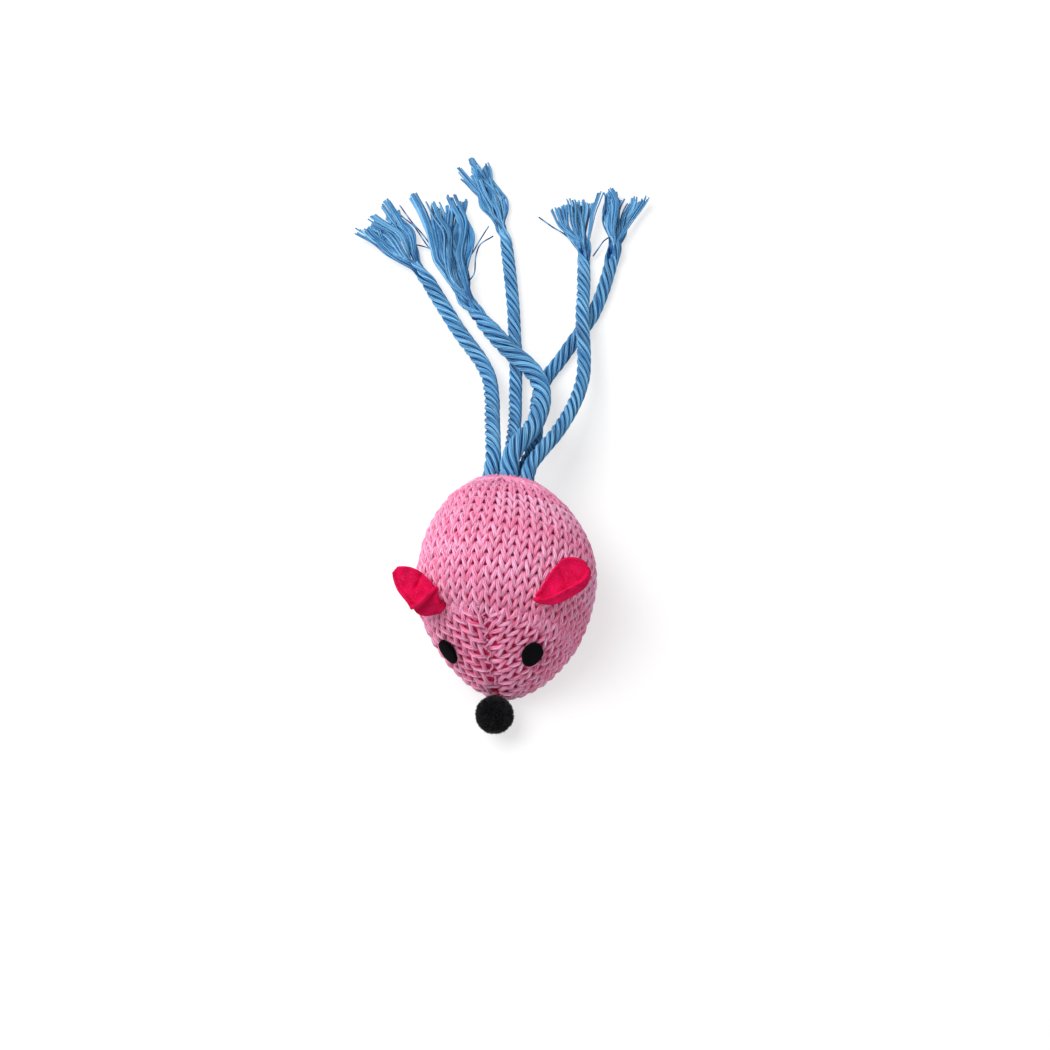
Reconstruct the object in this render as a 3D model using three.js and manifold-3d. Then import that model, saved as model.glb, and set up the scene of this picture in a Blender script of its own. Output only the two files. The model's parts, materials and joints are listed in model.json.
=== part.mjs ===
// Catnip mouse: a stuffed knitted body with felt ears and eyes, a pom-pom nose and a tail of five ropes.
// Millimetres, +Z up, snout towards -Y, tail towards +Y, belly resting on z = 0.
import * as THREE from "three";
import { mergeVertices } from "three/addons/utils/BufferGeometryUtils.js";
import Module from "manifold-3d";

const wasm = await Module();
wasm.setup();

// Gap between pieces that touch
const GAP = 0.35;

// Stuffed body
const HALF_WIDTH = 29; // at its widest, half way along
const FRONT_LENGTH = 35.5; // widest section to the tip of the snout
const REAR_LENGTH = 36.5; // widest section to the tail pole
const BACK_HEIGHT = 29; // from the body's axis up to the back
const BELLY_DEPTH = 24.5; // from the body's axis down to the belly, before it is pressed flat
const BELLY_FLAT = 0.5; // depth of the belly that lies pressed flat
const SNOUT_DROP = 16; // how far the axis falls towards the snout
const TAIL_RISE = 3; // how far the axis climbs towards the tail
const TAIL_SWAY = -5; // how far the stuffing leans sideways at the tail pole
const TAPER_START = 2.2; // higher keeps the body full for longer before it tapers
const SNOUT_BLUNT = 0.635; // lower makes a blunter end
const TAIL_BLUNT = 0.7;
const BELLY_FULL = 3.6; // taper of the belly behind the widest section
const BELLY_SQUARE = 2.4; // squareness of the belly's section
const MOUTH_FLATTEN = 0.3; // share of height drawn in around the tail
const MOUTH_FLATTEN_FROM = 0.6; // station where that begins
const UNDER_FROM = 0.35; // the full belly gives way to the tapering side from this station
const UNDER_TO = 0.85;
const KNIT_RINGS = 22;
const KNIT_SIDES = 36;

// Layers of the body
const KNIT_THICK = 1.6;
const LINING_THICK = 0.8;
const LINING_RINGS = 14;
const FILLING_RINGS = 12;
const INSIDE_SIDES = 28;

// Catnip sachet in the heart of the filling
const SACHET_LENGTH = 22;
const SACHET_WIDTH = 17;
const SACHET_HEIGHT = 12;
const SACHET_CLOTH = 0.8;
const SACHET_FULL = 2.6; // higher keeps the sachet full for longer towards its ends
const SACHET_BLUNT = 0.5;
const SACHET_END = 0.35; // width of the sewn ends as a share of the middle
const SACHET_EDGE = 0.1; // half thickness where the cloth is sewn flat

// Tail ropes: diameter, place in the bundle, and the route on from the pivot
// as x, y and height above lying flat
const ROPES = [
  {
    diameter: 5.4,
    across: -6.3,
    up: 2.4,
    route: [
      [-10.2, 39.5, 25.6], [-11.6, 45, 23.4], [-13.2, 50, 20.6], [-15, 55.5, 17.2],
      [-16.8, 61, 13.6], [-18.6, 67, 10], [-20.6, 72.5, 6.8], [-22.8, 78, 3.8],
      [-25.3, 82.5, 1.8], [-28.4, 87, 0.6], [-32.4, 91.6, 0.1], [-37.8, 97.5, 0],
      [-43, 104, 0], [-48.2, 110.6, 0], [-53.3, 117.1, 0], [-59, 123.4, 0],
    ],
    fray: { length: 25, heading: 134, spread: 7.5 },
  },
  {
    diameter: 6.4,
    across: 0,
    up: 3.2,
    route: [
      [-3.7, 39.5, 27.3], [-2.8, 43.5, 26.9], [-1.5, 47.9, 24.9], [-0.4, 52, 22.1],
      [0.1, 56, 19.5], [0.2, 60, 17], [-0.1, 64.3, 14.6], [-0.8, 68.3, 12.3],
      [-2.2, 72.5, 9.9], [-4.3, 76.8, 7.9], [-7.2, 80.8, 6.5], [-11, 84.3, 5.8],
      [-16.3, 88.2, 5.5], [-22.5, 93.8, 5.1], [-27.8, 99.4, 3.5], [-33, 105, 1.1],
      [-39, 111.7, 0],
    ],
    fray: { length: 43, heading: 109, spread: 8 },
  },
  {
    diameter: 4.7,
    across: -2.8,
    up: -2.4,
    route: [
      [-6.4, 39.5, 21.2], [-6.6, 44, 19.4], [-7.2, 48.4, 17.2], [-8.1, 53, 14.4],
      [-9.2, 58, 11.2], [-10.4, 63, 8], [-11.6, 67.5, 5.4], [-12.8, 72, 3.1],
      [-13.9, 77, 1.3], [-15, 83, 0.3], [-16.2, 89.6, 0], [-18, 97.7, 0],
      [-20, 107.4, 0], [-22.3, 116.5, 0], [-24.5, 124.7, 0], [-27, 133.1, 0],
      [-30, 141.4, 0],
    ],
    fray: { length: 26, heading: 116, spread: 4.5 },
  },
  {
    diameter: 4.9,
    across: 6,
    up: 2.2,
    route: [
      [2.7, 38.5, 25.7], [3.9, 42.6, 24.1], [5.6, 47.8, 21.5], [7.3, 53, 18.7],
      [8.6, 58.5, 15.9], [9.6, 64.2, 13.1], [10.3, 70, 10.5], [10.6, 75.5, 8.5],
      [10.5, 81, 7.1], [9.7, 86.6, 6.3], [8.8, 91.5, 5.9], [7.7, 96.5, 5.8],
      [6.7, 101.5, 5.6], [5.7, 107, 4.9], [4.6, 113.2, 2.3], [3.5, 119.5, 0.5],
      [2.4, 126, 0], [0.7, 135.3, 0],
    ],
    fray: { length: 18, heading: 103, spread: 6 },
  },
  {
    diameter: 4.9,
    across: 2.8,
    up: -2.4,
    route: [
      [-0.6, 39.5, 20.9], [0, 44, 18.9], [0.2, 48.5, 16.5], [-0.4, 53, 13.9],
      [-1.5, 57.5, 11.1], [-2.7, 62, 8.4], [-3.9, 66.5, 5.9], [-4.8, 71, 3.7],
      [-5, 75.5, 2], [-4.4, 79.8, 0.8], [-2.8, 84.2, 0.2], [-0.3, 88.9, 0],
      [2.6, 95, 0], [5.4, 100.6, 0], [8.2, 106.2, 0], [10.2, 113.9, 0],
      [11.3, 121, 0], [12, 128.1, 0], [12.7, 136.9, 0],
    ],
    fray: { length: 19, heading: 88, spread: 6.5 },
  },
];
const BUNDLE_LIFT = 0.8; // bundle centre above the body's axis at the tail mouth
const MOUTH_CLEARANCE = 1.7; // knit to the outermost rope
const LYING_GAP = 0.1; // under a rope that lies flat
const ROPE_SIDES = 10;
const ROPE_STEPS = 16;
const PIVOT_RINGS = 6;
const ROPE_INSIDE = 16; // rope length kept inside the body
const PIVOT_CLEARANCE = 1.2; // gather thread to the points where the ropes start to swing
const BINDING_THICK = 1.2;
const BINDING_LENGTH = 5;
const BINDING_BACK = 9; // from the pivots' inner ends to the binding
const GATHER_DIAMETER = 1.4;
const GATHER_SIDES = 6;

// Frayed rope ends
const FRAY_SLICE = 3; // laid rope kept whole under the loose strands
const FRAY_RINGS = [
  { count: 5, reach: 0.42 },
  { count: 9, reach: 0.8 },
];
const STRAND_WIDTH = 1.5;
const STRAND_TIP = 0.55; // tip width as a share of the strand's width
const FRAY_HEIGHT = 0.55; // height of the fan as a share of its width
const STRAND_GROUND = 0.2;
const STRAND_UNEVEN = 0.14; // how much shorter the shortest strands are

// Face
const EYE_LEFT = { station: -0.744, angle: -48 }; // share of the front length, degrees from the top
const EYE_RIGHT = { station: -0.715, angle: 45.7 };
const EYE_LENGTH = 8.8;
const EYE_WIDTH = 7.5;
const EYE_SIDES = 20;
const FELT_THICK = 1.2;
const NOSE_RADIUS = 6.35;
const NOSE_RISE = 1.6; // nose centre above the tip of the snout
const NOSE_DETAIL = 4;
const SEAM_THREAD = 0.9;
const SEAM_POINTS = 7;
const SEAM_STEPS = 12;
const SEAM_SIDES = 6;
const FACE_SEAM_FROM = -0.5;
const FACE_SEAM_TO = -0.955;
const BROW_STATION = -0.475;
const BROW_REACH = 27; // degrees to each side of the top

// Felt ears
const EAR_LEFT = { station: -0.503, angle: 33, side: -1 }; // sewn on further forward than the right one
const EAR_RIGHT = { station: -0.362, angle: 36, side: 1 };
const EAR_LENGTH = 20;
const EAR_HALF_WIDTH = 7.4;
const EAR_BASE_SHARE = 0.36; // width of the pinched root
const EAR_LIFT = 0.8; // root line above the knit
const EAR_START = 1.4; // felt begins this far from the root line
const EAR_BACK_CURL = 1.6;
const EAR_WIDEST = 0.58; // share of the length where the ear is widest
const EAR_END = 1.03; // share of the length where its rounded outline would close
const EAR_ROOT_CUP = 100; // degrees of curl to each side at the root
const EAR_TIP_CUP = 40;
const EAR_FRONT_CURL = 1.6; // the front half curls up more than the rear half
const EAR_REAR_CURL = 0.6;
const EAR_ROWS = 14;
const EAR_COLUMNS = 12;
const EAR_DIRECTION = new THREE.Vector3(0.788, 0.48, 0.388).normalize();
const EAR_FACING = new THREE.Vector3(-0.18, -0.43, 0.89);

const finish = (color, roughness) => new THREE.MeshStandardMaterial({ color, roughness, metalness: 0 });
const KNIT = finish(0xd4749b, 0.9);
const LINING = finish(0xb85a80, 0.85);
const FIBRE = finish(0xf3f0ea, 1);
const MUSLIN = finish(0xe6dfcc, 0.9);
const LEAF = finish(0x77804a, 1);
const ROPE_COTTON = finish(0x558bb3, 0.85);
const PINK_FELT = finish(0xe21a57, 0.95);
const BLACK_FELT = finish(0x0d0d0f, 0.95);
const BLACK_POMPOM = finish(0x08080a, 1);
const PINK_THREAD = finish(0xc4587f, 0.8);

const mouse = new THREE.Group();
mouse.name = "catnip_mouse";

function addPiece(name, geometry, material) {
  geometry.computeVertexNormals();
  const mesh = new THREE.Mesh(geometry, material);
  mesh.name = name;
  mouse.add(mesh);
}

// Closed meshes from points and faces, turned to face outwards
function closedGeometry(points, faces) {
  let sixVolumes = 0;
  const cross = new THREE.Vector3();
  for (let i = 0; i < faces.length; i += 3) {
    const [a, b, c] = [points[faces[i]], points[faces[i + 1]], points[faces[i + 2]]];
    sixVolumes += a.dot(cross.crossVectors(b, c));
  }
  const outward = sixVolumes > 0 ? faces : faces.slice().reverse();
  const flat = points.flatMap((p) => [p.x, p.y, p.z]);
  const geometry = new THREE.BufferGeometry();
  geometry.setAttribute("position", new THREE.Float32BufferAttribute(flat, 3));
  geometry.setIndex(outward);
  return geometry;
}

function band(faces, lower, upper, count) {
  for (let j = 0; j < count; j++) {
    const next = (j + 1) % count;
    faces.push(lower + j, lower + next, upper + next);
    faces.push(lower + j, upper + next, upper + j);
  }
}

// A skin over rings of points, closed by a point at each end
function loft(rings, startPoint, endPoint) {
  const count = rings[0].length;
  const points = [...rings.flat(), startPoint, endPoint];
  const start = points.length - 2;
  const last = (rings.length - 1) * count;
  const faces = [];
  for (let i = 0; i + 1 < rings.length; i++) band(faces, i * count, (i + 1) * count, count);
  for (let j = 0; j < count; j++) {
    const next = (j + 1) % count;
    faces.push(start, next, j);
    faces.push(start + 1, last + j, last + next);
  }
  return closedGeometry(points, faces);
}

const centreOf = (ring) =>
  ring.reduce((sum, p) => sum.add(p), new THREE.Vector3()).divideScalar(ring.length);

// A skin over rings that join up end to end
function closedLoft(rings) {
  const count = rings[0].length;
  const faces = [];
  rings.forEach((ring, i) => band(faces, i * count, ((i + 1) % rings.length) * count, count));
  return closedGeometry(rings.flat(), faces);
}

// Sheet of even thickness over a grid of points
function sheet(pointAt, rows, columns, thickness) {
  const front = [];
  const back = [];
  const step = 1e-3;
  for (let i = 0; i <= rows; i++) {
    for (let j = 0; j <= columns; j++) {
      const u = i / rows;
      const v = (2 * j) / columns - 1;
      const middle = pointAt(u, v);
      const along = pointAt(u + step, v).sub(pointAt(u - step, v));
      const across = pointAt(u, v + step).sub(pointAt(u, v - step));
      const normal = along.cross(across).normalize().multiplyScalar(thickness / 2);
      front.push(middle.clone().add(normal));
      back.push(middle.clone().sub(normal));
    }
  }
  const at = (i, j) => i * (columns + 1) + j;
  const far = front.length;
  const faces = [];
  for (let i = 0; i < rows; i++) {
    for (let j = 0; j < columns; j++) {
      const [a, b, c, d] = [at(i, j), at(i + 1, j), at(i + 1, j + 1), at(i, j + 1)];
      faces.push(a, b, c, a, c, d);
      faces.push(far + a, far + c, far + b, far + a, far + d, far + c);
    }
  }
  const rim = [];
  for (let j = 0; j < columns; j++) rim.push(at(0, j));
  for (let i = 0; i < rows; i++) rim.push(at(i, columns));
  for (let j = columns; j > 0; j--) rim.push(at(rows, j));
  for (let i = rows; i > 0; i--) rim.push(at(i, 0));
  rim.forEach((a, k) => {
    const b = rim[(k + 1) % rim.length];
    faces.push(a, b, far + b, a, far + b, far + a);
  });
  return closedGeometry([...front, ...back], faces);
}

function toSolid(geometry) {
  const bare = geometry.clone();
  for (const name of ["normal", "uv"]) bare.deleteAttribute(name);
  const merged = mergeVertices(bare);
  const vertProperties = new Float32Array(merged.attributes.position.array);
  const triVerts = new Uint32Array(merged.index.array);
  return new wasm.Manifold(new wasm.Mesh({ numProp: 3, vertProperties, triVerts }));
}

function toGeometry(solid) {
  const mesh = solid.getMesh();
  const geometry = new THREE.BufferGeometry();
  geometry.setAttribute("position", new THREE.Float32BufferAttribute(mesh.vertProperties, 3));
  geometry.setIndex(Array.from(mesh.triVerts));
  return geometry;
}

const joined = (geometries) =>
  toGeometry(geometries.map(toSolid).reduce((whole, solid) => whole.add(solid)));

// Body surface: station -1 at the snout, 0 at the widest section and 1 at the tail pole, angle 0 at the top
const axisHeight = (station) => {
  const floorToAxis = BELLY_DEPTH - BELLY_FLAT;
  return station < 0 ? floorToAxis - SNOUT_DROP * station ** 2 : floorToAxis + TAIL_RISE * station ** 4;
};
const swayAt = (station) => (station > 0 ? TAIL_SWAY * station ** 2 : 0);
const taper = (share, start, blunt) => Math.max(1 - share ** start, 0) ** blunt;

function bodyPoint(station, angle, inset) {
  const rear = station > 0;
  const share = Math.min(Math.abs(station), 1);
  const blunt = rear ? TAIL_BLUNT : SNOUT_BLUNT;
  const drawnIn = rear ? MOUTH_FLATTEN * THREE.MathUtils.smoothstep(share, MOUTH_FLATTEN_FROM, 1) : 0;
  const side = taper(share, TAPER_START, blunt);
  const belly = taper(share, rear ? BELLY_FULL : TAPER_START, blunt);
  const givingWay = THREE.MathUtils.smoothstep(share, UNDER_FROM, UNDER_TO);
  const under = THREE.MathUtils.lerp(belly, side, givingWay);
  const [sin, cos] = [Math.sin(angle), Math.cos(angle)];
  const upper = cos >= 0;
  const bend = upper ? 1 : 2 / BELLY_SQUARE;
  const x = swayAt(station) + (HALF_WIDTH - inset) * side * Math.sign(sin) * Math.abs(sin) ** bend;
  const reach = upper ? (BACK_HEIGHT - inset) * side : -(BELLY_DEPTH - inset) * under;
  const z = axisHeight(station) + reach * Math.abs(cos) ** bend * (1 - drawnIn);
  const y = station * ((rear ? REAR_LENGTH : FRONT_LENGTH) - inset);
  return new THREE.Vector3(x, y, Math.max(z, inset));
}

function bodyNormal(station, angle) {
  const step = 1e-4;
  const along = bodyPoint(station + step, angle, 0).sub(bodyPoint(station - step, angle, 0));
  const around = bodyPoint(station, angle + step, 0).sub(bodyPoint(station, angle - step, 0));
  return around.cross(along).normalize();
}

const onBody = (station, angle, height) =>
  bodyPoint(station, angle, 0).addScaledVector(bodyNormal(station, angle), height);

const bodyRing = (station, inset, sides) =>
  Array.from({ length: sides }, (_, k) => bodyPoint(station, (2 * Math.PI * k) / sides, inset));

// Station behind the widest section where the body has narrowed to a half width
const stationOfWidth = (halfWidth, inset) =>
  (1 - (halfWidth / (HALF_WIDTH - inset)) ** (1 / TAIL_BLUNT)) ** (1 / TAPER_START);

// Stations from the snout to a rear station, closer together towards the ends
function stations(rearStation, count) {
  const rearTurn = Math.asin(rearStation);
  const turns = Array.from({ length: count }, (_, i) => {
    const share = (i + 1) / count;
    return -Math.PI / 2 + share * (rearTurn + Math.PI / 2);
  });
  return turns.map(Math.sin);
}

// Tail mouth, sized by the bundle of ropes
const bundleHalfWidth = Math.max(...ROPES.map((rope) => Math.abs(rope.across) + rope.diameter / 2));
const mouthHalfWidth = bundleHalfWidth + MOUTH_CLEARANCE;
const mouthStation = stationOfWidth(mouthHalfWidth + KNIT_THICK, 0);
const mouthY = mouthStation * REAR_LENGTH;
const tailX = swayAt(mouthStation);
const tailZ = axisHeight(mouthStation) + BUNDLE_LIFT;
const pivotY = mouthY + GAP + GATHER_DIAMETER + PIVOT_CLEARANCE;

// A layer of the body: outer skin to the tail mouth, and back inside it to the snout
function layer(outerInset, innerInset, rows, sides) {
  const clear = mouthHalfWidth;
  const outerEnd = stationOfWidth(clear + innerInset - outerInset, outerInset);
  const innerEnd = stationOfWidth(clear, innerInset);
  const outer = stations(outerEnd, rows).map((s) => bodyRing(s, outerInset, sides));
  const inner = stations(innerEnd, rows).map((s) => bodyRing(s, innerInset, sides));
  return loft([...outer, ...inner.reverse()], bodyPoint(-1, 0, outerInset), bodyPoint(-1, 0, innerInset));
}

const liningOuter = KNIT_THICK + GAP;
const liningInner = liningOuter + LINING_THICK;
const fillingOuter = liningInner + GAP;
addPiece("knit_cover", layer(0, KNIT_THICK, KNIT_RINGS, KNIT_SIDES), KNIT);
addPiece("lining_bag", layer(liningOuter, liningInner, LINING_RINGS, INSIDE_SIDES), LINING);

// Outline of a thread drawn tight round the bundle of ropes, at a distance from it
function bundleBelt(distance, corners) {
  return Array.from({ length: corners }, (_, k) => {
    const angle = (2 * Math.PI * k) / corners;
    const direction = new THREE.Vector2(Math.cos(angle), Math.sin(angle));
    const reach = (rope) => direction.x * rope.across + direction.y * rope.up + rope.diameter / 2;
    const outermost = ROPES.reduce((best, rope) => (reach(rope) > reach(best) ? rope : best));
    const radius = outermost.diameter / 2 + distance;
    return new THREE.Vector2(outermost.across, outermost.up).addScaledVector(direction, radius);
  });
}
const beltRing = (distance, y, corners) =>
  bundleBelt(distance, corners).map((p) => new THREE.Vector3(tailX + p.x, y, tailZ + p.y));

// Fibre filling with a pocket for the bound rope ends and, ahead of it, for the sachet
const ropeFront = pivotY - ROPE_INSIDE;
const sachetRear = ropeFront - GAP;
const sachetCentre = new THREE.Vector3(tailX / 2, sachetRear - SACHET_LENGTH / 2, tailZ);

// Pillow of cloth: half sizes at a share of its length, flat towards the sewn ends
function sachetRing(share, shrink) {
  const fullness = taper(Math.abs(share), SACHET_FULL, SACHET_BLUNT);
  const widthShare = THREE.MathUtils.lerp(SACHET_END, 1, fullness);
  const width = Math.max((SACHET_WIDTH / 2 - shrink) * widthShare, SACHET_EDGE);
  const height = Math.max((SACHET_HEIGHT / 2 - shrink) * fullness, SACHET_EDGE);
  const y = sachetCentre.y + share * (SACHET_LENGTH / 2 - shrink);
  return Array.from({ length: INSIDE_SIDES }, (_, k) => {
    const angle = (2 * Math.PI * k) / INSIDE_SIDES;
    const [sideways, upwards] = [width * Math.cos(angle), height * Math.sin(angle)];
    return new THREE.Vector3(sachetCentre.x + sideways, y, sachetCentre.z + upwards);
  });
}

const pocketClear = BINDING_THICK + 2 * GAP;
const fillingRearStation = stationOfWidth(mouthHalfWidth + pocketClear, fillingOuter);
const fillingRearY = fillingRearStation * (REAR_LENGTH - fillingOuter);
const fillingStations = stations(fillingRearStation, FILLING_RINGS);
const fillingSkin = fillingStations.map((s) => bodyRing(s, fillingOuter, INSIDE_SIDES));
const bundlePocket = [fillingRearY, sachetRear].map((y) => beltRing(pocketClear, y, INSIDE_SIDES));
// The belt runs from +X through +Z, the body's rings from +Z through +X
const matchRing = (ring) => ring.map((_, k) => ring[(INSIDE_SIDES / 4 - k + INSIDE_SIDES) % INSIDE_SIDES]);
const sachetShares = [0.97, 0.8, 0.4, 0, -0.4, -0.8, -0.97];
const sachetPocket = sachetShares.map((share) => sachetRing(share, -GAP));
const pocketRings = [...bundlePocket, ...sachetPocket].map(matchRing);
const pocketEnd = centreOf(pocketRings.at(-1));
const fillingFront = bodyPoint(-1, 0, fillingOuter);
addPiece("fibre_filling", loft([...fillingSkin, ...pocketRings], fillingFront, pocketEnd), FIBRE);

// Sachet cloth with a small stitched mouth towards the tail, and the dried leaf in it
const clothOutside = [-0.97, -0.8, -0.4, 0, 0.4, 0.8, 0.96].map((share) => sachetRing(share, 0));
const clothInside = [0.96, 0.7, 0.3, -0.1, -0.5, -0.86].map((share) => sachetRing(share, SACHET_CLOTH));
const clothFront = centreOf(clothOutside[0]);
const clothEnd = centreOf(clothInside.at(-1));
addPiece("catnip_sachet", loft([...clothOutside, ...clothInside], clothFront, clothEnd), MUSLIN);
const leafRings = [-0.8, -0.5, -0.1, 0.3, 0.65, 0.86].map((share) => sachetRing(share, SACHET_CLOTH + GAP));
addPiece("catnip_leaf", loft(leafRings, centreOf(leafRings[0]), centreOf(leafRings.at(-1))), LEAF);

// Ropes: the end held in the body, the laid free length on a rounded pivot, and the frayed end
const ropeSection = (radius) => new THREE.Shape().absarc(0, 0, radius, 0, 2 * Math.PI, false);

function strand(from, to, width, tip) {
  const along = to.clone().sub(from).normalize();
  const across = new THREE.Vector3(-along.y, along.x, 0).normalize();
  const over = new THREE.Vector3().crossVectors(along, across);
  const ringAt = (share) => {
    const half = (width / 2) * (1 - share * (1 - tip));
    const centre = from.clone().lerp(to, share);
    return [[1, 1], [-1, 1], [-1, -1], [1, -1]].map(([a, b]) =>
      centre.clone().addScaledVector(across, a * half).addScaledVector(over, b * half),
    );
  };
  return loft([0, 0.5, 1].map(ringAt), from, to);
}

function frayedEnd(start, ropeHeading, rope) {
  const radius = rope.diameter / 2;
  const turn = THREE.MathUtils.degToRad(rope.fray.heading);
  const heading = new THREE.Vector3(Math.cos(turn), Math.sin(turn), 0);
  const side = new THREE.Vector3(-heading.y, heading.x, 0);
  const lift = new THREE.Vector3(0, 0, 1);
  const sliceEnd = start.clone().addScaledVector(ropeHeading, FRAY_SLICE);
  const slice = new THREE.ExtrudeGeometry(ropeSection(radius), {
    steps: 1,
    curveSegments: ROPE_SIDES / 2,
    bevelEnabled: false,
    extrudePath: new THREE.LineCurve3(start, sliceEnd),
  });
  const root = start.clone().addScaledVector(ropeHeading, FRAY_SLICE / 2);
  const strands = FRAY_RINGS.flatMap(({ count, reach }, ring) =>
    Array.from({ length: count }, (_, k) => {
      const angle = (2 * Math.PI * (k + ring / 2)) / count;
      const [sideways, upwards] = [reach * Math.cos(angle), reach * Math.sin(angle)];
      const room = radius - STRAND_WIDTH * 0.75;
      const from = root.clone().addScaledVector(side, sideways * room).addScaledVector(lift, upwards * room);
      const length = rope.fray.length * (1 - STRAND_UNEVEN * Math.abs(Math.sin(5 * angle + ring)));
      const to = root.clone().addScaledVector(heading, length);
      to.addScaledVector(side, sideways * rope.fray.spread);
      const tipHalf = (STRAND_WIDTH * STRAND_TIP) / 2;
      const lowest = STRAND_GROUND + 1.5 * tipHalf;
      to.z = Math.max(lowest, root.z + upwards * rope.fray.spread * FRAY_HEIGHT);
      return strand(from, to, STRAND_WIDTH, STRAND_TIP);
    }),
  );
  return joined([slice, ...strands]);
}

ROPES.forEach((rope, k) => {
  const number = k + 1;
  const radius = rope.diameter / 2;
  const pivot = new THREE.Vector3(tailX + rope.across, pivotY, tailZ + rope.up);
  const heldRear = pivotY - radius - GAP;
  const held = new THREE.CylinderGeometry(radius, radius, heldRear - ropeFront, ROPE_SIDES);
  held.translate(pivot.x, (heldRear + ropeFront) / 2, pivot.z);
  addPiece(`tail_end_${number}`, held, ROPE_COTTON);

  const lying = radius + LYING_GAP;
  const route = rope.route.map(([x, y, height]) => new THREE.Vector3(x, y, height + lying));
  const path = new THREE.CatmullRomCurve3([pivot, ...route]);
  const laid = new THREE.ExtrudeGeometry(ropeSection(radius), {
    steps: ROPE_STEPS,
    curveSegments: ROPE_SIDES / 2,
    bevelEnabled: false,
    extrudePath: path,
  });
  const rounded = new THREE.SphereGeometry(radius, ROPE_SIDES, PIVOT_RINGS);
  rounded.translate(pivot.x, pivot.y, pivot.z);
  addPiece(`tail_rope_${number}`, joined([laid, rounded]), ROPE_COTTON);

  const ropeHeading = path.getTangentAt(1).setZ(0).normalize();
  const frayStart = route.at(-1).clone().addScaledVector(ropeHeading, GAP);
  addPiece(`tail_fray_${number}`, frayedEnd(frayStart, ropeHeading, rope), ROPE_COTTON);
});

// Binding wound round the held ends, and the thread that gathers the knit round the tail
const bindingRear = pivotY - BINDING_BACK;
const bindingFront = bindingRear - BINDING_LENGTH;
const bindingRings = [
  beltRing(GAP, bindingFront, INSIDE_SIDES),
  beltRing(GAP, bindingRear, INSIDE_SIDES),
  beltRing(GAP + BINDING_THICK, bindingRear, INSIDE_SIDES),
  beltRing(GAP + BINDING_THICK, bindingFront, INSIDE_SIDES),
];
addPiece("tail_binding", closedLoft(bindingRings), PINK_THREAD);

const gatherY = mouthY + GAP + GATHER_DIAMETER / 2;
const rimInside = bodyRing(stationOfWidth(mouthHalfWidth, KNIT_THICK), KNIT_THICK, KNIT_SIDES);
const rimOutside = bodyRing(mouthStation, 0, KNIT_SIDES);
const mouthCentre = centreOf(rimInside);
const gatherRings = rimInside.map((inside, k) => {
  const middle = inside.clone().lerp(rimOutside[k], 0.5).setY(gatherY);
  const outward = middle.clone().sub(mouthCentre).setY(0).normalize();
  return Array.from({ length: GATHER_SIDES }, (_, corner) => {
    const angle = (2 * Math.PI * corner) / GATHER_SIDES;
    const spot = middle.clone().addScaledVector(outward, (GATHER_DIAMETER / 2) * Math.cos(angle));
    return spot.setY(spot.y + (GATHER_DIAMETER / 2) * Math.sin(angle));
  });
});
addPiece("gather_thread", closedLoft(gatherRings), PINK_THREAD);

// Sewn lines on the face: one from brow to nose and one from ear to ear
function seamOnBody(places) {
  const height = SEAM_THREAD / 2 + GAP;
  const path = new THREE.CatmullRomCurve3(places.map(([station, angle]) => onBody(station, angle, height)));
  return new THREE.ExtrudeGeometry(ropeSection(SEAM_THREAD / 2), {
    steps: SEAM_STEPS,
    curveSegments: SEAM_SIDES / 2,
    bevelEnabled: false,
    extrudePath: path,
  });
}
const shares = Array.from({ length: SEAM_POINTS }, (_, k) => k / (SEAM_POINTS - 1));
const faceSeam = shares.map((share) => [THREE.MathUtils.lerp(FACE_SEAM_FROM, FACE_SEAM_TO, share), 0]);
addPiece("face_seam", seamOnBody(faceSeam), PINK_THREAD);
const browReach = THREE.MathUtils.degToRad(BROW_REACH);
const browSeam = shares.map((share) => [BROW_STATION, THREE.MathUtils.lerp(-browReach, browReach, share)]);
addPiece("brow_seam", seamOnBody(browSeam), PINK_THREAD);

// Oval felt eyes that follow the body
function eye(place) {
  const centreAngle = THREE.MathUtils.degToRad(place.angle);
  const step = 1e-3;
  const centre = bodyPoint(place.station, centreAngle, 0);
  const alongScale = bodyPoint(place.station + step, centreAngle, 0).distanceTo(centre) / step;
  const aroundScale = bodyPoint(place.station, centreAngle + step, 0).distanceTo(centre) / step;
  const spot = (size, turn, height) => {
    const station = place.station + (size * EYE_LENGTH * Math.cos(turn)) / (2 * alongScale);
    const angle = centreAngle + (size * EYE_WIDTH * Math.sin(turn)) / (2 * aroundScale);
    return onBody(station, angle, height);
  };
  const ring = (size, height) =>
    Array.from({ length: EYE_SIDES }, (_, k) => spot(size, (2 * Math.PI * k) / EYE_SIDES, height));
  const top = GAP + FELT_THICK;
  const rings = [
    ring(0.5, GAP),
    ring(0.96, GAP),
    ring(1, GAP + FELT_THICK / 2),
    ring(0.93, top - 0.1 * FELT_THICK),
    ring(0.5, top),
  ];
  return loft(rings, spot(0, 0, GAP), spot(0, 0, top));
}
addPiece("eye_left", eye(EYE_LEFT), BLACK_FELT);
addPiece("eye_right", eye(EYE_RIGHT), BLACK_FELT);

// Pom-pom nose against the tip of the snout
const noseForward = Math.sqrt((NOSE_RADIUS + GAP) ** 2 - NOSE_RISE ** 2);
const snoutTip = bodyPoint(-1, 0, 0);
const nose = new THREE.IcosahedronGeometry(NOSE_RADIUS, NOSE_DETAIL);
nose.translate(0, snoutTip.y - noseForward, snoutTip.z + NOSE_RISE);
addPiece("nose_pompom", nose, BLACK_POMPOM);

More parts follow.
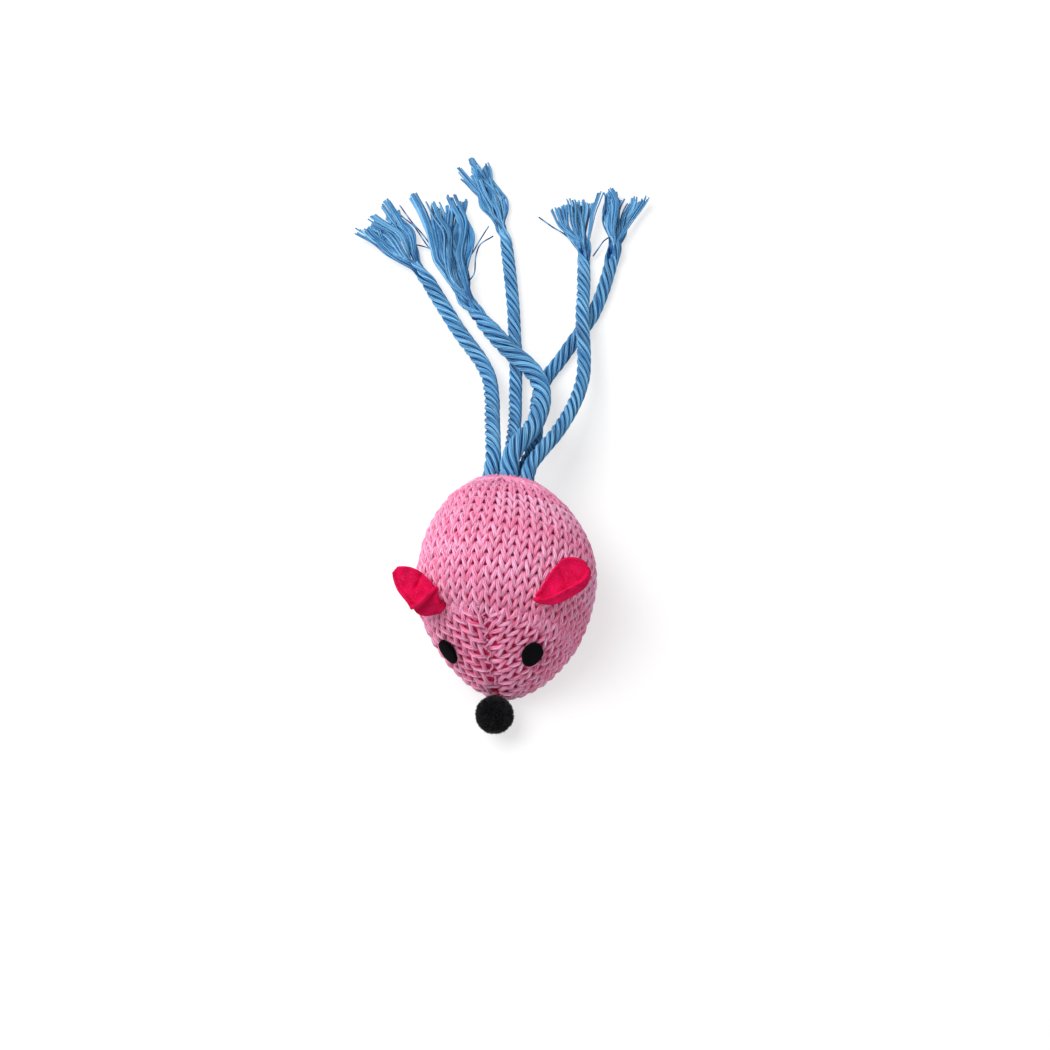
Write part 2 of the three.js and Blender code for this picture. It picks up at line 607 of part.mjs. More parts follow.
// Felt ears: a leaf pinched at its root, with its front half curled up. The left one is mirrored.
const earTilt = EAR_FACING.dot(EAR_DIRECTION);
const earFacing = EAR_FACING.clone().addScaledVector(EAR_DIRECTION, -earTilt).normalize();
const earAcross = new THREE.Vector3().crossVectors(earFacing, EAR_DIRECTION);

function earHalfArc(share) {
  const widening = THREE.MathUtils.smoothstep(share, 0, EAR_WIDEST);
  const past = Math.max(share - EAR_WIDEST, 0) / (EAR_END - EAR_WIDEST);
  const rounding = Math.sqrt(Math.max(1 - past ** 2, 0));
  return EAR_HALF_WIDTH * THREE.MathUtils.lerp(EAR_BASE_SHARE, 1, widening) * rounding;
}

function earPoint(place, share, across) {
  const opening = THREE.MathUtils.smoothstep(share, 0, 1);
  const curl = across < 0 ? EAR_FRONT_CURL : EAR_REAR_CURL;
  const cup = curl * THREE.MathUtils.degToRad(THREE.MathUtils.lerp(EAR_ROOT_CUP, EAR_TIP_CUP, opening));
  const radius = earHalfArc(share) / cup;
  const point = onBody(place.station, THREE.MathUtils.degToRad(place.angle), EAR_LIFT)
    .addScaledVector(EAR_DIRECTION, EAR_START + share * (EAR_LENGTH - EAR_START))
    .addScaledVector(earAcross, radius * Math.sin(cup * across))
    .addScaledVector(earFacing, radius * (1 - Math.cos(cup * across)) - EAR_BACK_CURL * share ** 2);
  point.x *= place.side;
  return point;
}
const ear = (place) => sheet((u, v) => earPoint(place, u, v), EAR_ROWS, EAR_COLUMNS, FELT_THICK);
addPiece("ear_left", ear(EAR_LEFT), PINK_FELT);
addPiece("ear_right", ear(EAR_RIGHT), PINK_FELT);

export default mouse;
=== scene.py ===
import json
import math
from bisect import bisect_right

import bpy
from mathutils import Matrix, Vector, noise


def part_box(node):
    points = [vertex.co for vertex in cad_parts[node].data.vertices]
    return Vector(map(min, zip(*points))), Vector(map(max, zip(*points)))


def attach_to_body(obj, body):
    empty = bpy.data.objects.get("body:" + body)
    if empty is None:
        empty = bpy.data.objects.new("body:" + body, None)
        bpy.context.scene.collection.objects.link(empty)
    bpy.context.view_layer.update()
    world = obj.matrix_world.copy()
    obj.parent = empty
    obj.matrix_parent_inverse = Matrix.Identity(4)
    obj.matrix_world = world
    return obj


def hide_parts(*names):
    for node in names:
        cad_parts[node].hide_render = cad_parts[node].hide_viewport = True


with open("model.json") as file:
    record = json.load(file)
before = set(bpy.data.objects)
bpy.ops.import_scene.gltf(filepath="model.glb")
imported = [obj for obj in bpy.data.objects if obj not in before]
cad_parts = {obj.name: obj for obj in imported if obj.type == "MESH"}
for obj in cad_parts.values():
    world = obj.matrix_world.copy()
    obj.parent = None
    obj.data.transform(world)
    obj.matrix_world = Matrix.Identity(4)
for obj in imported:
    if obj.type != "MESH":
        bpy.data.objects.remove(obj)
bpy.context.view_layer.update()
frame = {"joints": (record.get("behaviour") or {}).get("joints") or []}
mm = 0.001
fullTurn = 2 * math.pi
scene = bpy.context.scene
scene.view_settings.view_transform = "Standard"


def mix(a, b, share):
    return a + (b - a) * share


def smooth(low, high, value):
    share = min(max((value - low) / (high - low), 0), 1)
    return share * share * (3 - 2 * share)


def shade(red, green, blue):  # a colour as the eye reads it, 0 to 255, made linear
    def linear(value):
        value /= 255
        return value / 12.92 if value <= 0.04045 else ((value + 0.055) / 1.055) ** 2.4

    return (linear(red), linear(green), linear(blue), 1)


# Camera

cameraSet = {
    "tilt": 65, "swing": 34.9, "roll": -27.8,  # degrees
    "across": 1.34, "up": 26.47, "away": 725.9, "lens": 75, "sensor": 36,  # millimetres
}


def placeCamera(s):
    tilt, swing, roll = (math.radians(s[key]) for key in ("tilt", "swing", "roll"))
    back = Vector((math.sin(swing) * math.cos(tilt), -math.cos(swing) * math.cos(tilt), math.sin(tilt)))
    level = Vector((math.cos(swing), math.sin(swing), 0))
    rise = back.cross(level)
    right = math.cos(roll) * level + math.sin(roll) * rise
    upward = math.cos(roll) * rise - math.sin(roll) * level
    place = (back * s["away"] + right * s["across"] + upward * s["up"]) * mm
    data = bpy.data.cameras.new("camera")
    data.lens = s["lens"]
    data.sensor_width = s["sensor"]
    camera = bpy.data.objects.new("camera", data)
    camera.matrix_world = Matrix.Translation(place) @ Matrix((right, upward, back)).transposed().to_4x4()
    scene.collection.objects.link(camera)
    scene.camera = camera
    return right, upward, back


pictureRight, pictureUp, pictureBack = placeCamera(cameraSet)
print("camera placed")


# Building node trees


def plug(tree, socket, value):
    if isinstance(value, bpy.types.NodeSocket):
        tree.links.new(value, socket)
    else:
        socket.default_value = value


def socketNamed(sockets, name):
    return next(s for s in sockets if (s.name == name or s.identifier == name) and s.enabled)


def addNode(tree, kind, plugs=None, **settings):
    node = tree.nodes.new(kind)
    for key, value in settings.items():
        setattr(node, key, value)
    for name, value in (plugs or {}).items():
        plug(tree, socketNamed(node.inputs, name), value)
    return node


def calc(tree, operation, *values):
    node = addNode(tree, "ShaderNodeMath", operation=operation)
    for socket, value in zip(node.inputs, values):
        plug(tree, socket, value)
    return node.outputs[0]


def vec(tree, operation, *values):
    node = addNode(tree, "ShaderNodeVectorMath", operation=operation)
    sockets = [node.inputs[0], node.inputs["Scale"]] if operation == "SCALE" else node.inputs
    for socket, value in zip(sockets, values):
        plug(tree, socket, value)
    return node.outputs["Value" if operation == "LENGTH" else "Vector"]


def inTurn(step, tree, operation, values):  # each result goes into the next step
    result = values[0]
    for value in values[1:]:
        result = step(tree, operation, result, value)
    return result


def times(tree, *values):
    return inTurn(calc, tree, "MULTIPLY", values)


def plus(tree, *values):
    return inTurn(calc, tree, "ADD", values)


def minus(tree, first, second):
    return calc(tree, "SUBTRACT", first, second)


def added(tree, *vectors):
    return inTurn(vec, tree, "ADD", vectors)


def scaled(tree, vector, share):
    return vec(tree, "SCALE", vector, share)


def attribute(tree, name, kind="FLOAT"):
    node = addNode(tree, "GeometryNodeInputNamedAttribute", {"Name": name}, data_type=kind)
    return node.outputs["Attribute"]


def randomFor(tree, low, high, number, seed):
    plugs = {"Min_001": low, "Max_001": high, "ID": number, "Seed": seed}
    node = addNode(tree, "FunctionNodeRandomValue", plugs, data_type="FLOAT")
    return socketNamed(node.outputs, "Value_001")


socketKinds = {float: "NodeSocketFloat", int: "NodeSocketInt"}


def startTree(name, sizes):
    tree = bpy.data.node_groups.new(name, "GeometryNodeTree")
    tree.interface.new_socket("Geometry", in_out="INPUT", socket_type="NodeSocketGeometry")
    tree.interface.new_socket("Geometry", in_out="OUTPUT", socket_type="NodeSocketGeometry")
    for label, value in sizes.items():
        item = tree.interface.new_socket(label, in_out="INPUT", socket_type=socketKinds[type(value)])
        item.default_value = value
    tree.interface.new_socket("Material", in_out="INPUT", socket_type="NodeSocketMaterial")
    return tree, tree.nodes.new("NodeGroupInput").outputs


def endTree(tree, geometry, material):
    real = addNode(tree, "GeometryNodeRealizeInstances", {"Geometry": geometry})
    soft = addNode(tree, "GeometryNodeSetShadeSmooth", {"Geometry": real.outputs[0]})
    dressed = addNode(tree, "GeometryNodeSetMaterial", {"Geometry": soft.outputs[0], "Material": material})
    plug(tree, tree.nodes.new("NodeGroupOutput").inputs[0], dressed.outputs[0])


def store(tree, geometry, name, value, kind="FLOAT"):
    plugs = {"Geometry": geometry, "Name": name, "Value": value}
    return addNode(tree, "GeometryNodeStoreNamedAttribute", plugs, data_type=kind, domain="POINT").outputs[0]


def tube(tree, curve, radius, sides, thick):
    ring = addNode(tree, "GeometryNodeCurvePrimitiveCircle", {"Resolution": sides, "Radius": radius})
    index = tree.nodes.new("GeometryNodeInputIndex").outputs[0]
    ring = store(tree, ring.outputs["Curve"], "around", calc(tree, "DIVIDE", index, sides))
    plugs = {"Curve": curve, "Profile Curve": ring, "Scale": thick, "Fill Caps": True}
    return addNode(tree, "GeometryNodeCurveToMesh", plugs).outputs[0]


def moveTo(tree, geometry, name, value):
    return addNode(tree, "GeometryNodeSetPosition", {"Geometry": geometry, name: value}).outputs[0]


def aboveFloor(tree, geometry, radius):
    position = tree.nodes.new("GeometryNodeInputPosition").outputs[0]
    here = addNode(tree, "ShaderNodeSeparateXYZ", {"Vector": position}).outputs
    plugs = {"X": here["X"], "Y": here["Y"], "Z": calc(tree, "MAXIMUM", here["Z"], radius)}
    return moveTo(tree, geometry, "Position", addNode(tree, "ShaderNodeCombineXYZ", plugs).outputs[0])


def lineMesh(name, lines):  # each line: its points, as places with named values, and whether it closes
    mesh = bpy.data.meshes.new(name)
    places, edges, values = [], [], {}
    for points, closed in lines:
        first = len(places)
        for place, named in points:
            places.append(place)
            for key, value in named.items():
                values.setdefault(key, []).append(value)
        edges += [(i, i + 1) for i in range(first, len(places) - 1)]
        if closed:
            edges.append((len(places) - 1, first))
    mesh.from_pydata(places, edges, [])
    for key, column in values.items():
        if isinstance(column[0], Vector):
            layer = mesh.attributes.new(key, "FLOAT_VECTOR", "POINT")
            layer.data.foreach_set("vector", [x for v in column for x in v])
        else:
            mesh.attributes.new(key, "FLOAT", "POINT").data.foreach_set("value", column)
    return mesh


def grow(name, tree, source, material, sizes):
    piece = bpy.data.objects.new(name, source)
    scene.collection.objects.link(piece)
    modifier = piece.modifiers.new("grow", "NODES")
    modifier.node_group = tree
    wanted = dict(sizes, Material=material)
    for item in tree.interface.items_tree:
        if item.in_out == "INPUT" and item.name in wanted:
            modifier[item.identifier] = wanted[item.name]
    graph = bpy.context.evaluated_depsgraph_get()
    grown = piece.evaluated_get(graph)
    mesh = bpy.data.meshes.new_from_object(grown, preserve_all_data_layers=True, depsgraph=graph)
    piece.modifiers.clear()
    piece.data = mesh
    mesh.name = name
    print(name, len(mesh.polygons), "faces")
    return piece


def addPiece(name, points, faces, material):
    mesh = bpy.data.meshes.new(name)
    mesh.from_pydata(points, [], faces)
    mesh.materials.append(material)
    mesh.polygons.foreach_set("use_smooth", [True] * len(faces))
    piece = bpy.data.objects.new(name, mesh)
    scene.collection.objects.link(piece)
    return piece


def attach(piece, bodyName, node=None):
    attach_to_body(piece, bodyName)
    if node:
        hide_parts(node)


def ringFaces(rings, sides):  # between rings of points that follow each other
    faces = []
    for i in range(rings - 1):
        for k in range(sides):
            j = (k + 1) % sides
            faces.append((i * sides + k, i * sides + j, (i + 1) * sides + j, (i + 1) * sides + k))
    return faces


# Materials


def startGroup(name, inputs, outputs):
    tree = bpy.data.node_groups.new(name, "ShaderNodeTree")
    for label, value in inputs.items():
        item = tree.interface.new_socket(label, in_out="INPUT", socket_type="NodeSocketFloat")
        item.default_value = value
    for label in outputs:
        tree.interface.new_socket(label, in_out="OUTPUT", socket_type="NodeSocketFloat")
    return tree, tree.nodes.new("NodeGroupInput").outputs, tree.nodes.new("NodeGroupOutput").inputs


def noiseAt(tree, vector, scale, detail=2.0, roughness=0.5):
    plugs = {"Vector": vector, "Scale": scale, "Detail": detail, "Roughness": roughness}
    return addNode(tree, "ShaderNodeTexNoise", plugs).outputs["Fac"]


def levels(tree, value, low, high):
    plugs = {"Value": value, "From Min": low, "From Max": high}
    return addNode(tree, "ShaderNodeMapRange", plugs, clamp=True).outputs["Result"]


def blendColour(tree, share, first, second):
    plugs = {"Factor_Float": share, "A_Color": first, "B_Color": second}
    return socketNamed(addNode(tree, "ShaderNodeMix", plugs, data_type="RGBA").outputs, "Result_Color")


def shaderAttribute(tree, name):
    return addNode(tree, "ShaderNodeAttribute", attribute_name=name).outputs["Fac"]


def objectPlace(tree):
    return addNode(tree, "ShaderNodeTexCoord").outputs["Object"]


streaks = {
    "apart": 60, "detail": 2.0, "rough": 0.6, "broad": 0.3, "broadDetail": 1.0,
    "filament": (0.32, 0.68), "clump": (0.3, 0.7),  # levels of the noise from dark to bright
    # below the crest level given here, a yarn is darkened as painted shade
    "crestShadeFull": 0.9, "ownFrom": 0.35, "bumpDepth": 0.0004,
}
fibres = {
    "warpScale": 700.0, "warpDetail": 2.0, "warp": 0.004, "scale": 2600, "detail": 3.0, "rough": 0.65,
    "threadScale": 0.6, "threadWidth": 0.05, "threadHeight": 0.4, "cloudScale": 240,
    "fibre": (0.35, 0.7), "cloud": (0.3, 0.7),  # levels of the noise from dark to bright
    "bumpDepth": 0.0003,
}


def makeStreakGroup(s):  # fine filaments that run along a yarn
    tree, given, out = startGroup(
        "yarnStreaks", {"Run": 40.0, "Turns": 9.0, "Fineness": 1.0}, ["Filament", "Clump", "Height"]
    )
    along = times(tree, shaderAttribute(tree, "along"), given["Run"])
    around = times(tree, shaderAttribute(tree, "around"), fullTurn)
    ring = times(tree, given["Turns"], 1 / fullTurn)
    own = times(tree, shaderAttribute(tree, "own"), s["apart"])
    x = plus(tree, times(tree, calc(tree, "COSINE", around), ring), own)
    y = times(tree, calc(tree, "SINE", around), ring)
    place = addNode(tree, "ShaderNodeCombineXYZ", {"X": x, "Y": y, "Z": along}).outputs[0]
    fine = noiseAt(tree, place, given["Fineness"], s["detail"], s["rough"])
    broad = noiseAt(tree, place, times(tree, given["Fineness"], s["broad"]), s["broadDetail"])
    plug(tree, out["Filament"], levels(tree, fine, *s["filament"]))
    plug(tree, out["Clump"], levels(tree, broad, *s["clump"]))
    plug(tree, out["Height"], fine)
    return tree


def makeFeltGroup(s):  # matted fibres
    tree, given, out = startGroup("feltFibres", {"Size": 1.0}, ["Fibre", "Cloud", "Height"])
    place = objectPlace(tree)
    plugs = {"Vector": place, "Scale": s["warpScale"], "Detail": s["warpDetail"]}
    warp = addNode(tree, "ShaderNodeTexNoise", plugs).outputs["Color"]
    bent = added(tree, place, scaled(tree, warp, s["warp"]))
    scale = times(tree, given["Size"], s["scale"])
    fine = noiseAt(tree, bent, scale, s["detail"], s["rough"])
    middle = minus(tree, noiseAt(tree, bent, times(tree, scale, s["threadScale"])), 0.5)
    ridge = calc(tree, "ABSOLUTE", middle)  # threads run where the noise crosses its middle
    thread = minus(tree, 1.0, levels(tree, ridge, 0.0, s["threadWidth"]))
    cloud = noiseAt(tree, place, times(tree, given["Size"], s["cloudScale"]))
    plug(tree, out["Fibre"], times(tree, thread, levels(tree, fine, *s["fibre"])))
    plug(tree, out["Cloud"], levels(tree, cloud, *s["cloud"]))
    plug(tree, out["Height"], plus(tree, fine, times(tree, thread, s["threadHeight"])))
    return tree


streakGroup = makeStreakGroup(streaks)
feltGroup = makeFeltGroup(fibres)
sheenRoughness = 0.4


def startMaterial(name, s):
    material = bpy.data.materials.new(name)
    material.use_nodes = True
    tree = material.node_tree
    cover = tree.nodes["Principled BSDF"]
    cover.inputs["Roughness"].default_value = s["roughness"]
    cover.inputs["Specular IOR Level"].default_value = s["specular"]
    cover.inputs["Sheen Weight"].default_value = s["sheen"]
    cover.inputs["Sheen Roughness"].default_value = sheenRoughness
    cover.inputs["Sheen Tint"].default_value = s["bright"]
    return material, tree, cover


def addBump(tree, cover, height, strength, distance):
    plugs = {"Height": height, "Strength": strength, "Distance": distance}
    plug(tree, cover.inputs["Normal"], addNode(tree, "ShaderNodeBump", plugs).outputs[0])


def yarnMaterial(name, s):
    material, tree, cover = startMaterial(name, s)
    streak = addNode(tree, "ShaderNodeGroup", node_tree=streakGroup)
    for label in ("Run", "Turns", "Fineness"):
        streak.inputs[label].default_value = s[label]
    crest = levels(tree, shaderAttribute(tree, "crest"), 0.0, streaks["crestShadeFull"])  # painted shade: the sunk parts of the yarn are darkened
    own = levels(tree, shaderAttribute(tree, "own"), streaks["ownFrom"], 1.0)
    # painted shade: the dark colour fills the sunk parts of the yarn, mixed with random darker clumps
    base = blendColour(tree, times(tree, crest, streak.outputs["Clump"]), s["dark"], s["middle"])
    # random brighter plies, shown only on the crests as painted highlight
    base = blendColour(tree, times(tree, own, crest, s["ownShare"]), base, s["bright"])
    # painted highlights: bright filaments on the crests of the yarn
    lit = times(tree, streak.outputs["Filament"], crest, s["brightShare"])
    plug(tree, cover.inputs["Base Color"], blendColour(tree, lit, base, s["bright"]))
    addBump(tree, cover, streak.outputs["Height"], s["bump"], streaks["bumpDepth"])
    return material


def feltMaterial(name, s):
    material, tree, cover = startMaterial(name, s)
    felt = addNode(tree, "ShaderNodeGroup", node_tree=feltGroup)
    felt.inputs["Size"].default_value = s["Size"]
    base = blendColour(tree, felt.outputs["Cloud"], s["dark"], s["middle"])
    lit = times(tree, felt.outputs["Fibre"], s["brightShare"])
    plug(tree, cover.inputs["Base Color"], blendColour(tree, lit, base, s["bright"]))
    addBump(tree, cover, felt.outputs["Height"], s["bump"], fibres["bumpDepth"])
    return material


# in the yarn materials the dark colour is painted shade in the sunk parts, together with random clumps, and
# the bright colour gives painted highlights on the crests, besides the sheen's tint
pinkYarn = yarnMaterial("pinkYarn", {
    "dark": shade(236, 26, 108), "middle": shade(252, 84, 158), "bright": shade(255, 210, 242),
    "brightShare": 0.75, "ownShare": 0.75, "roughness": 0.3, "sheen": 0.05, "bump": 0.6, "specular": 0.55,
    "Run": 0.35, "Turns": 3.2, "Fineness": 1.3,
})
blueCotton = yarnMaterial("blueCotton", {
    "dark": shade(0, 58, 118), "middle": shade(46, 140, 206), "bright": shade(152, 216, 254),
    "brightShare": 0.6, "ownShare": 0.75, "roughness": 0.7, "sheen": 0.02, "bump": 0.5, "specular": 0.15,
    "Run": 220.0, "Turns": 5.0, "Fineness": 1.0,
})
pinkFelt = feltMaterial("pinkFelt", {
    "dark": shade(208, 0, 58), "middle": shade(255, 12, 92), "bright": shade(255, 92, 160),
    "brightShare": 0.7, "roughness": 0.9, "sheen": 0.03, "bump": 0.7, "specular": 0.05, "Size": 1.0,
})
blackFelt = feltMaterial("blackFelt", {
    "dark": shade(2, 2, 3), "middle": shade(6, 6, 8), "bright": shade(46, 47, 52),
    "brightShare": 0.3, "roughness": 0.85, "sheen": 0.0, "bump": 0.5, "specular": 0.05, "Size": 1.0,
})
# the bright grey fibre specks of the black pile are painted highlights
blackPile = feltMaterial("blackPile", {
    "dark": shade(6, 6, 7), "middle": shade(16, 16, 18), "bright": shade(120, 122, 130),
    "brightShare": 0.4, "roughness": 0.45, "sheen": 0.05, "bump": 0.0, "specular": 0.25, "Size": 0.6,
})


liningLook = {
    "dark": shade(250, 66, 134), "middle": shade(255, 104, 166), "bright": shade(220, 150, 185),
    "roughness": 0.85, "sheen": 0.1, "specular": 0.25, "bump": 0.4, "bumpDepth": 0.0003,
    "threads": 900.0, "wander": 1.5,
}
insideLook = {
    "roughness": 0.9, "sheen": 0.1, "specular": 0.25, "bump": 0.6, "bumpDepth": 0.0006,
    "detail": 4.0, "rough": 0.6, "cloud": (0.3, 0.7),
}


def liningMaterial(s):
    material, tree, cover = startMaterial("liningCloth", s)
    plugs = {"Vector": objectPlace(tree), "Scale": s["threads"], "Distortion": s["wander"]}
    waves = [addNode(tree, "ShaderNodeTexWave", plugs, bands_direction=way) for way in ("X", "Z")]
    cloth = times(tree, *(wave.outputs["Fac"] for wave in waves))
    plug(tree, cover.inputs["Base Color"], blendColour(tree, cloth, s["dark"], s["middle"]))
    addBump(tree, cover, cloth, s["bump"], s["bumpDepth"])
    return material


def insideMaterial(name, dark, bright, scale):  # for what lies inside the body
    s = dict(insideLook, bright=bright)
    material, tree, cover = startMaterial(name, s)
    cloud = noiseAt(tree, objectPlace(tree), scale, s["detail"], s["rough"])
    plug(tree, cover.inputs["Base Color"], blendColour(tree, levels(tree, cloud, *s["cloud"]), dark, bright))
    addBump(tree, cover, cloud, s["bump"], s["bumpDepth"])
    return material


pinkLining = liningMaterial(liningLook)
insideFinishes = {
    "fibre_filling": insideMaterial("whiteFibre", shade(225, 221, 214), shade(250, 248, 244), 400.0),
    "catnip_sachet": insideMaterial("creamMuslin", shade(214, 206, 184), shade(236, 230, 212), 900.0),
    "catnip_leaf": insideMaterial("driedLeaf", shade(84, 92, 48), shade(140, 148, 88), 700.0),
    "tail_binding": insideMaterial("woundThread", shade(170, 66, 106), shade(212, 110, 150), 1200.0),
}
print("materials made")


# Stuffed body: the same form as the solid, in millimetres

body = {
    "halfWidth": 29, "frontLength": 35.5, "rearLength": 36.5, "backHeight": 29, "bellyDepth": 24.5,
    "bellyFlat": 0.5, "snoutDrop": 16, "tailRise": 3, "tailSway": -5, "taperStart": 2.2, "snoutBlunt": 0.635,
    "tailBlunt": 0.7, "bellyFull": 3.6, "bellySquare": 2.4, "mouthFlatten": 0.3, "mouthFlattenFrom": 0.6,
    "underFrom": 0.35, "underTo": 0.85,
    "seamFrom": -0.4, "seamFade": 0.15, "seamDepth": 1.0, "seamWidth": 2.6,  # valley, brow to nose
    "browStation": -0.475, "browDepth": 0.9, "browWidth": 1.6,  # crease from ear to ear
    "browReach": 30, "browFade": 1.4,
    "rimRoll": 2.4, "rimTurn": 130, "rimStep": 0.02,
}
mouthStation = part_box("knit_cover")[1][1] / mm / body["rearLength"]
rimStation = mouthStation + math.radians(body["rimTurn"]) * body["rimRoll"] / body["rearLength"]


def taper(share, start, blunt):
    return max(1 - share**start, 0) ** blunt


def bodyPoint(station, angle, inset):
    s = body
    rear = station > 0
    share = min(abs(station), 1)
    blunt = s["tailBlunt"] if rear else s["snoutBlunt"]
    drawnIn = s["mouthFlatten"] * smooth(s["mouthFlattenFrom"], 1, share) if rear else 0
    side = taper(share, s["taperStart"], blunt)
    belly = taper(share, s["bellyFull"] if rear else s["taperStart"], blunt)
    under = mix(belly, side, smooth(s["underFrom"], s["underTo"], share))
    floorToAxis = s["bellyDepth"] - s["bellyFlat"]
    axis = floorToAxis + s["tailRise"] * station**4 if rear else floorToAxis - s["snoutDrop"] * station**2
    sine, cosine = math.sin(angle), math.cos(angle)
    upper = cosine >= 0
    bend = 1 if upper else 2 / s["bellySquare"]
    sway = s["tailSway"] * station**2 if rear else 0
    x = sway + (s["halfWidth"] - inset) * side * math.copysign(abs(sine) ** bend, sine)
    reach = (s["backHeight"] - inset) * side if upper else -(s["bellyDepth"] - inset) * under
    z = axis + reach * abs(cosine) ** bend * (1 - drawnIn)
    y = station * ((s["rearLength"] if rear else s["frontLength"]) - inset)
    return Vector((x, y, max(z, inset)))


def dent(station, angle):  # how far the sewn lines draw the cover in
    s = body
    fromTop = abs(angle) * s["halfWidth"] * taper(min(abs(station), 1), s["taperStart"], s["snoutBlunt"])
    seam = s["seamDepth"] * smooth(s["seamFrom"], s["seamFrom"] - s["seamFade"], station)
    fromBrow = (station - s["browStation"]) * s["frontLength"]
    crease = s["browDepth"] * math.exp(-((fromBrow / s["browWidth"]) ** 2))
    reach = math.radians(s["browReach"])
    crease *= 1 - smooth(reach, reach * s["browFade"], abs(angle))
    return seam * math.exp(-((fromTop / s["seamWidth"]) ** 2)) + crease


def skinPoint(station, angle, inset):
    s = body
    if station <= mouthStation:
        return bodyPoint(station, angle, inset + dent(station, angle))
    edge = bodyPoint(mouthStation, angle, inset)
    before = bodyPoint(mouthStation - s["rimStep"], angle, inset)
    beside = bodyPoint(mouthStation, angle + s["rimStep"] / 2, inset)
    back = (edge - before).normalized()
    outward = (beside - edge).cross(back).normalized()
    rolled = (station - mouthStation) * s["rearLength"] / s["rimRoll"]  # the knit rolls in over the rim
    return edge + back * s["rimRoll"] * math.sin(rolled) - outward * s["rimRoll"] * (1 - math.cos(rolled))


# Knitted cover: rows run round the back, and two flat pieces meet at the seams of the face

knit = {
    "columnWidth": 4.25, "rowHeight": 3.9, "inset": 1.5, "steps": 13,  # millimetres, and points in a stitch
    "mouthRow": 0.75, "mouthColumn": 0.5,  # shares of the size at the tail mouth
    "settle": 0.0, "rowSettle": 0.25,  # stations behind which columns keep their width and rows get lower
    "backEnd": -0.485, "rimGap": 0.004, "shortest": 0.65, "tallest": 1.5, "backLook": 0.04,
    "rowSearch": 0.3, "searchSteps": 12, "searchAt": (0.6, 0.8, 1),  # shares of the way up the side
    "faceWidth": 4.3, "faceHeight": 4.4, "faceThin": 0.9, "faceOverlap": 1.6, "shortRun": 0.7,
    "faceSteps": 300, "faceTip": 1.5, "faceAngle": 0.9, "faceBeyond": 0.08, "faceLook": 0.03,
    "offBelly": 0.002, "endsUnder": 0.01,
    "tuck": 0.8, "tuckFrom": 0.4, "browTuck": (0.7, 0.2), "tip": -0.997,
    "uneven": 0.3, "unevenScale": 0.22, "swell": 0.12, "swellScale": 0.5, "thinnest": 0.35, "thinning": 0.6,
    "seed": 7,
    "coverRings": 220, "coverSides": 120, "pieces": 3,
    # the crest values set the painted shade of the loops: darker where a loop sinks in and where a ply turns
    # under
    "clear": 1.2, "crestShadeMiddle": 0.5, "crestShadeShare": 0.3, "plyShift": 17.0, "tintRun": 900.0, "tintSeed": 4,
    "tree": {
        "Lean": 0.27, "Reach": 0.78, "Depth": 0.00085, "Ply Radius": 0.00028, "Ply Offset": 0.00052,
        "Plies": 6, "Ply Turns": 1.0, "Sides": 4,
    },
    "halves": [  # of the face: degrees from the columns to the seam, and stitch shapes
        {"side": -1, "lean": 43, "tree": {"Lean": 0.18, "Reach": 0.74}},
        {"side": 1, "lean": 52, "tree": {"Lean": 0.25, "Reach": 0.74}},
    ],
}


def makeKnitTree(s):
    tree, given = startTree("knittedYarn", s["tree"])
    curve = addNode(tree, "GeometryNodeMeshToCurve", {"Mesh": given["Geometry"]}).outputs[0]
    phase, thick = (attribute(tree, name) for name in ("phase", "thick"))
    across, upward, outward = (
        attribute(tree, name, "FLOAT_VECTOR") for name in ("across", "upward", "outward")
    )
    double = times(tree, phase, 2.0)
    doubleCosine = calc(tree, "COSINE", double)
    lean = times(tree, calc(tree, "SINE", double), given["Lean"])
    reach = times(tree, calc(tree, "COSINE", phase), times(tree, given["Reach"], -1.0))
    depth = times(tree, doubleCosine, times(tree, given["Depth"], -1.0))
    loop = added(tree, scaled(tree, across, lean), scaled(tree, upward, reach), scaled(tree, outward, depth))
    loops = moveTo(tree, curve, "Offset", loop)
    copies = addNode(
        tree, "GeometryNodeDuplicateElements", {"Geometry": loops, "Amount": given["Plies"]}, domain="SPLINE"
    )
    ply = copies.outputs["Duplicate Index"]
    tangent = tree.nodes.new("GeometryNodeInputTangent").outputs[0]
    sideways = vec(tree, "NORMALIZE", vec(tree, "CROSS_PRODUCT", tangent, outward))
    over = vec(tree, "CROSS_PRODUCT", sideways, tangent)
    start = times(tree, calc(tree, "DIVIDE", ply, given["Plies"]), fullTurn)
    angle = plus(tree, start, times(tree, phase, given["Ply Turns"]))
    sine = calc(tree, "SINE", angle)
    ring = times(tree, given["Ply Offset"], thick)
    shiftSide = scaled(tree, sideways, times(tree, calc(tree, "COSINE", angle), ring))
    shift = added(tree, shiftSide, scaled(tree, over, times(tree, sine, ring)))
    plies = moveTo(tree, copies.outputs[0], "Offset", shift)
    plies = aboveFloor(tree, plies, times(tree, given["Ply Radius"], s["clear"]))
    plies = store(tree, plies, "along", phase)
    # painted shade: the crest value is lower where a loop sinks into the fabric and where a ply turns under
    raised = plus(tree, times(tree, doubleCosine, -s["crestShadeShare"]), times(tree, sine, s["crestShadeShare"]))
    plies = store(tree, plies, "crest", plus(tree, raised, s["crestShadeMiddle"]))
    index = tree.nodes.new("GeometryNodeInputIndex").outputs[0]
    run = calc(tree, "FLOOR", calc(tree, "DIVIDE", index, s["tintRun"]))
    number = plus(tree, times(tree, ply, s["plyShift"]), run)
    plies = store(tree, plies, "own", randomFor(tree, 0.0, 1.0, number, s["tintSeed"]))
    endTree(tree, tube(tree, plies, given["Ply Radius"], given["Sides"], thick), given["Material"])
    return tree


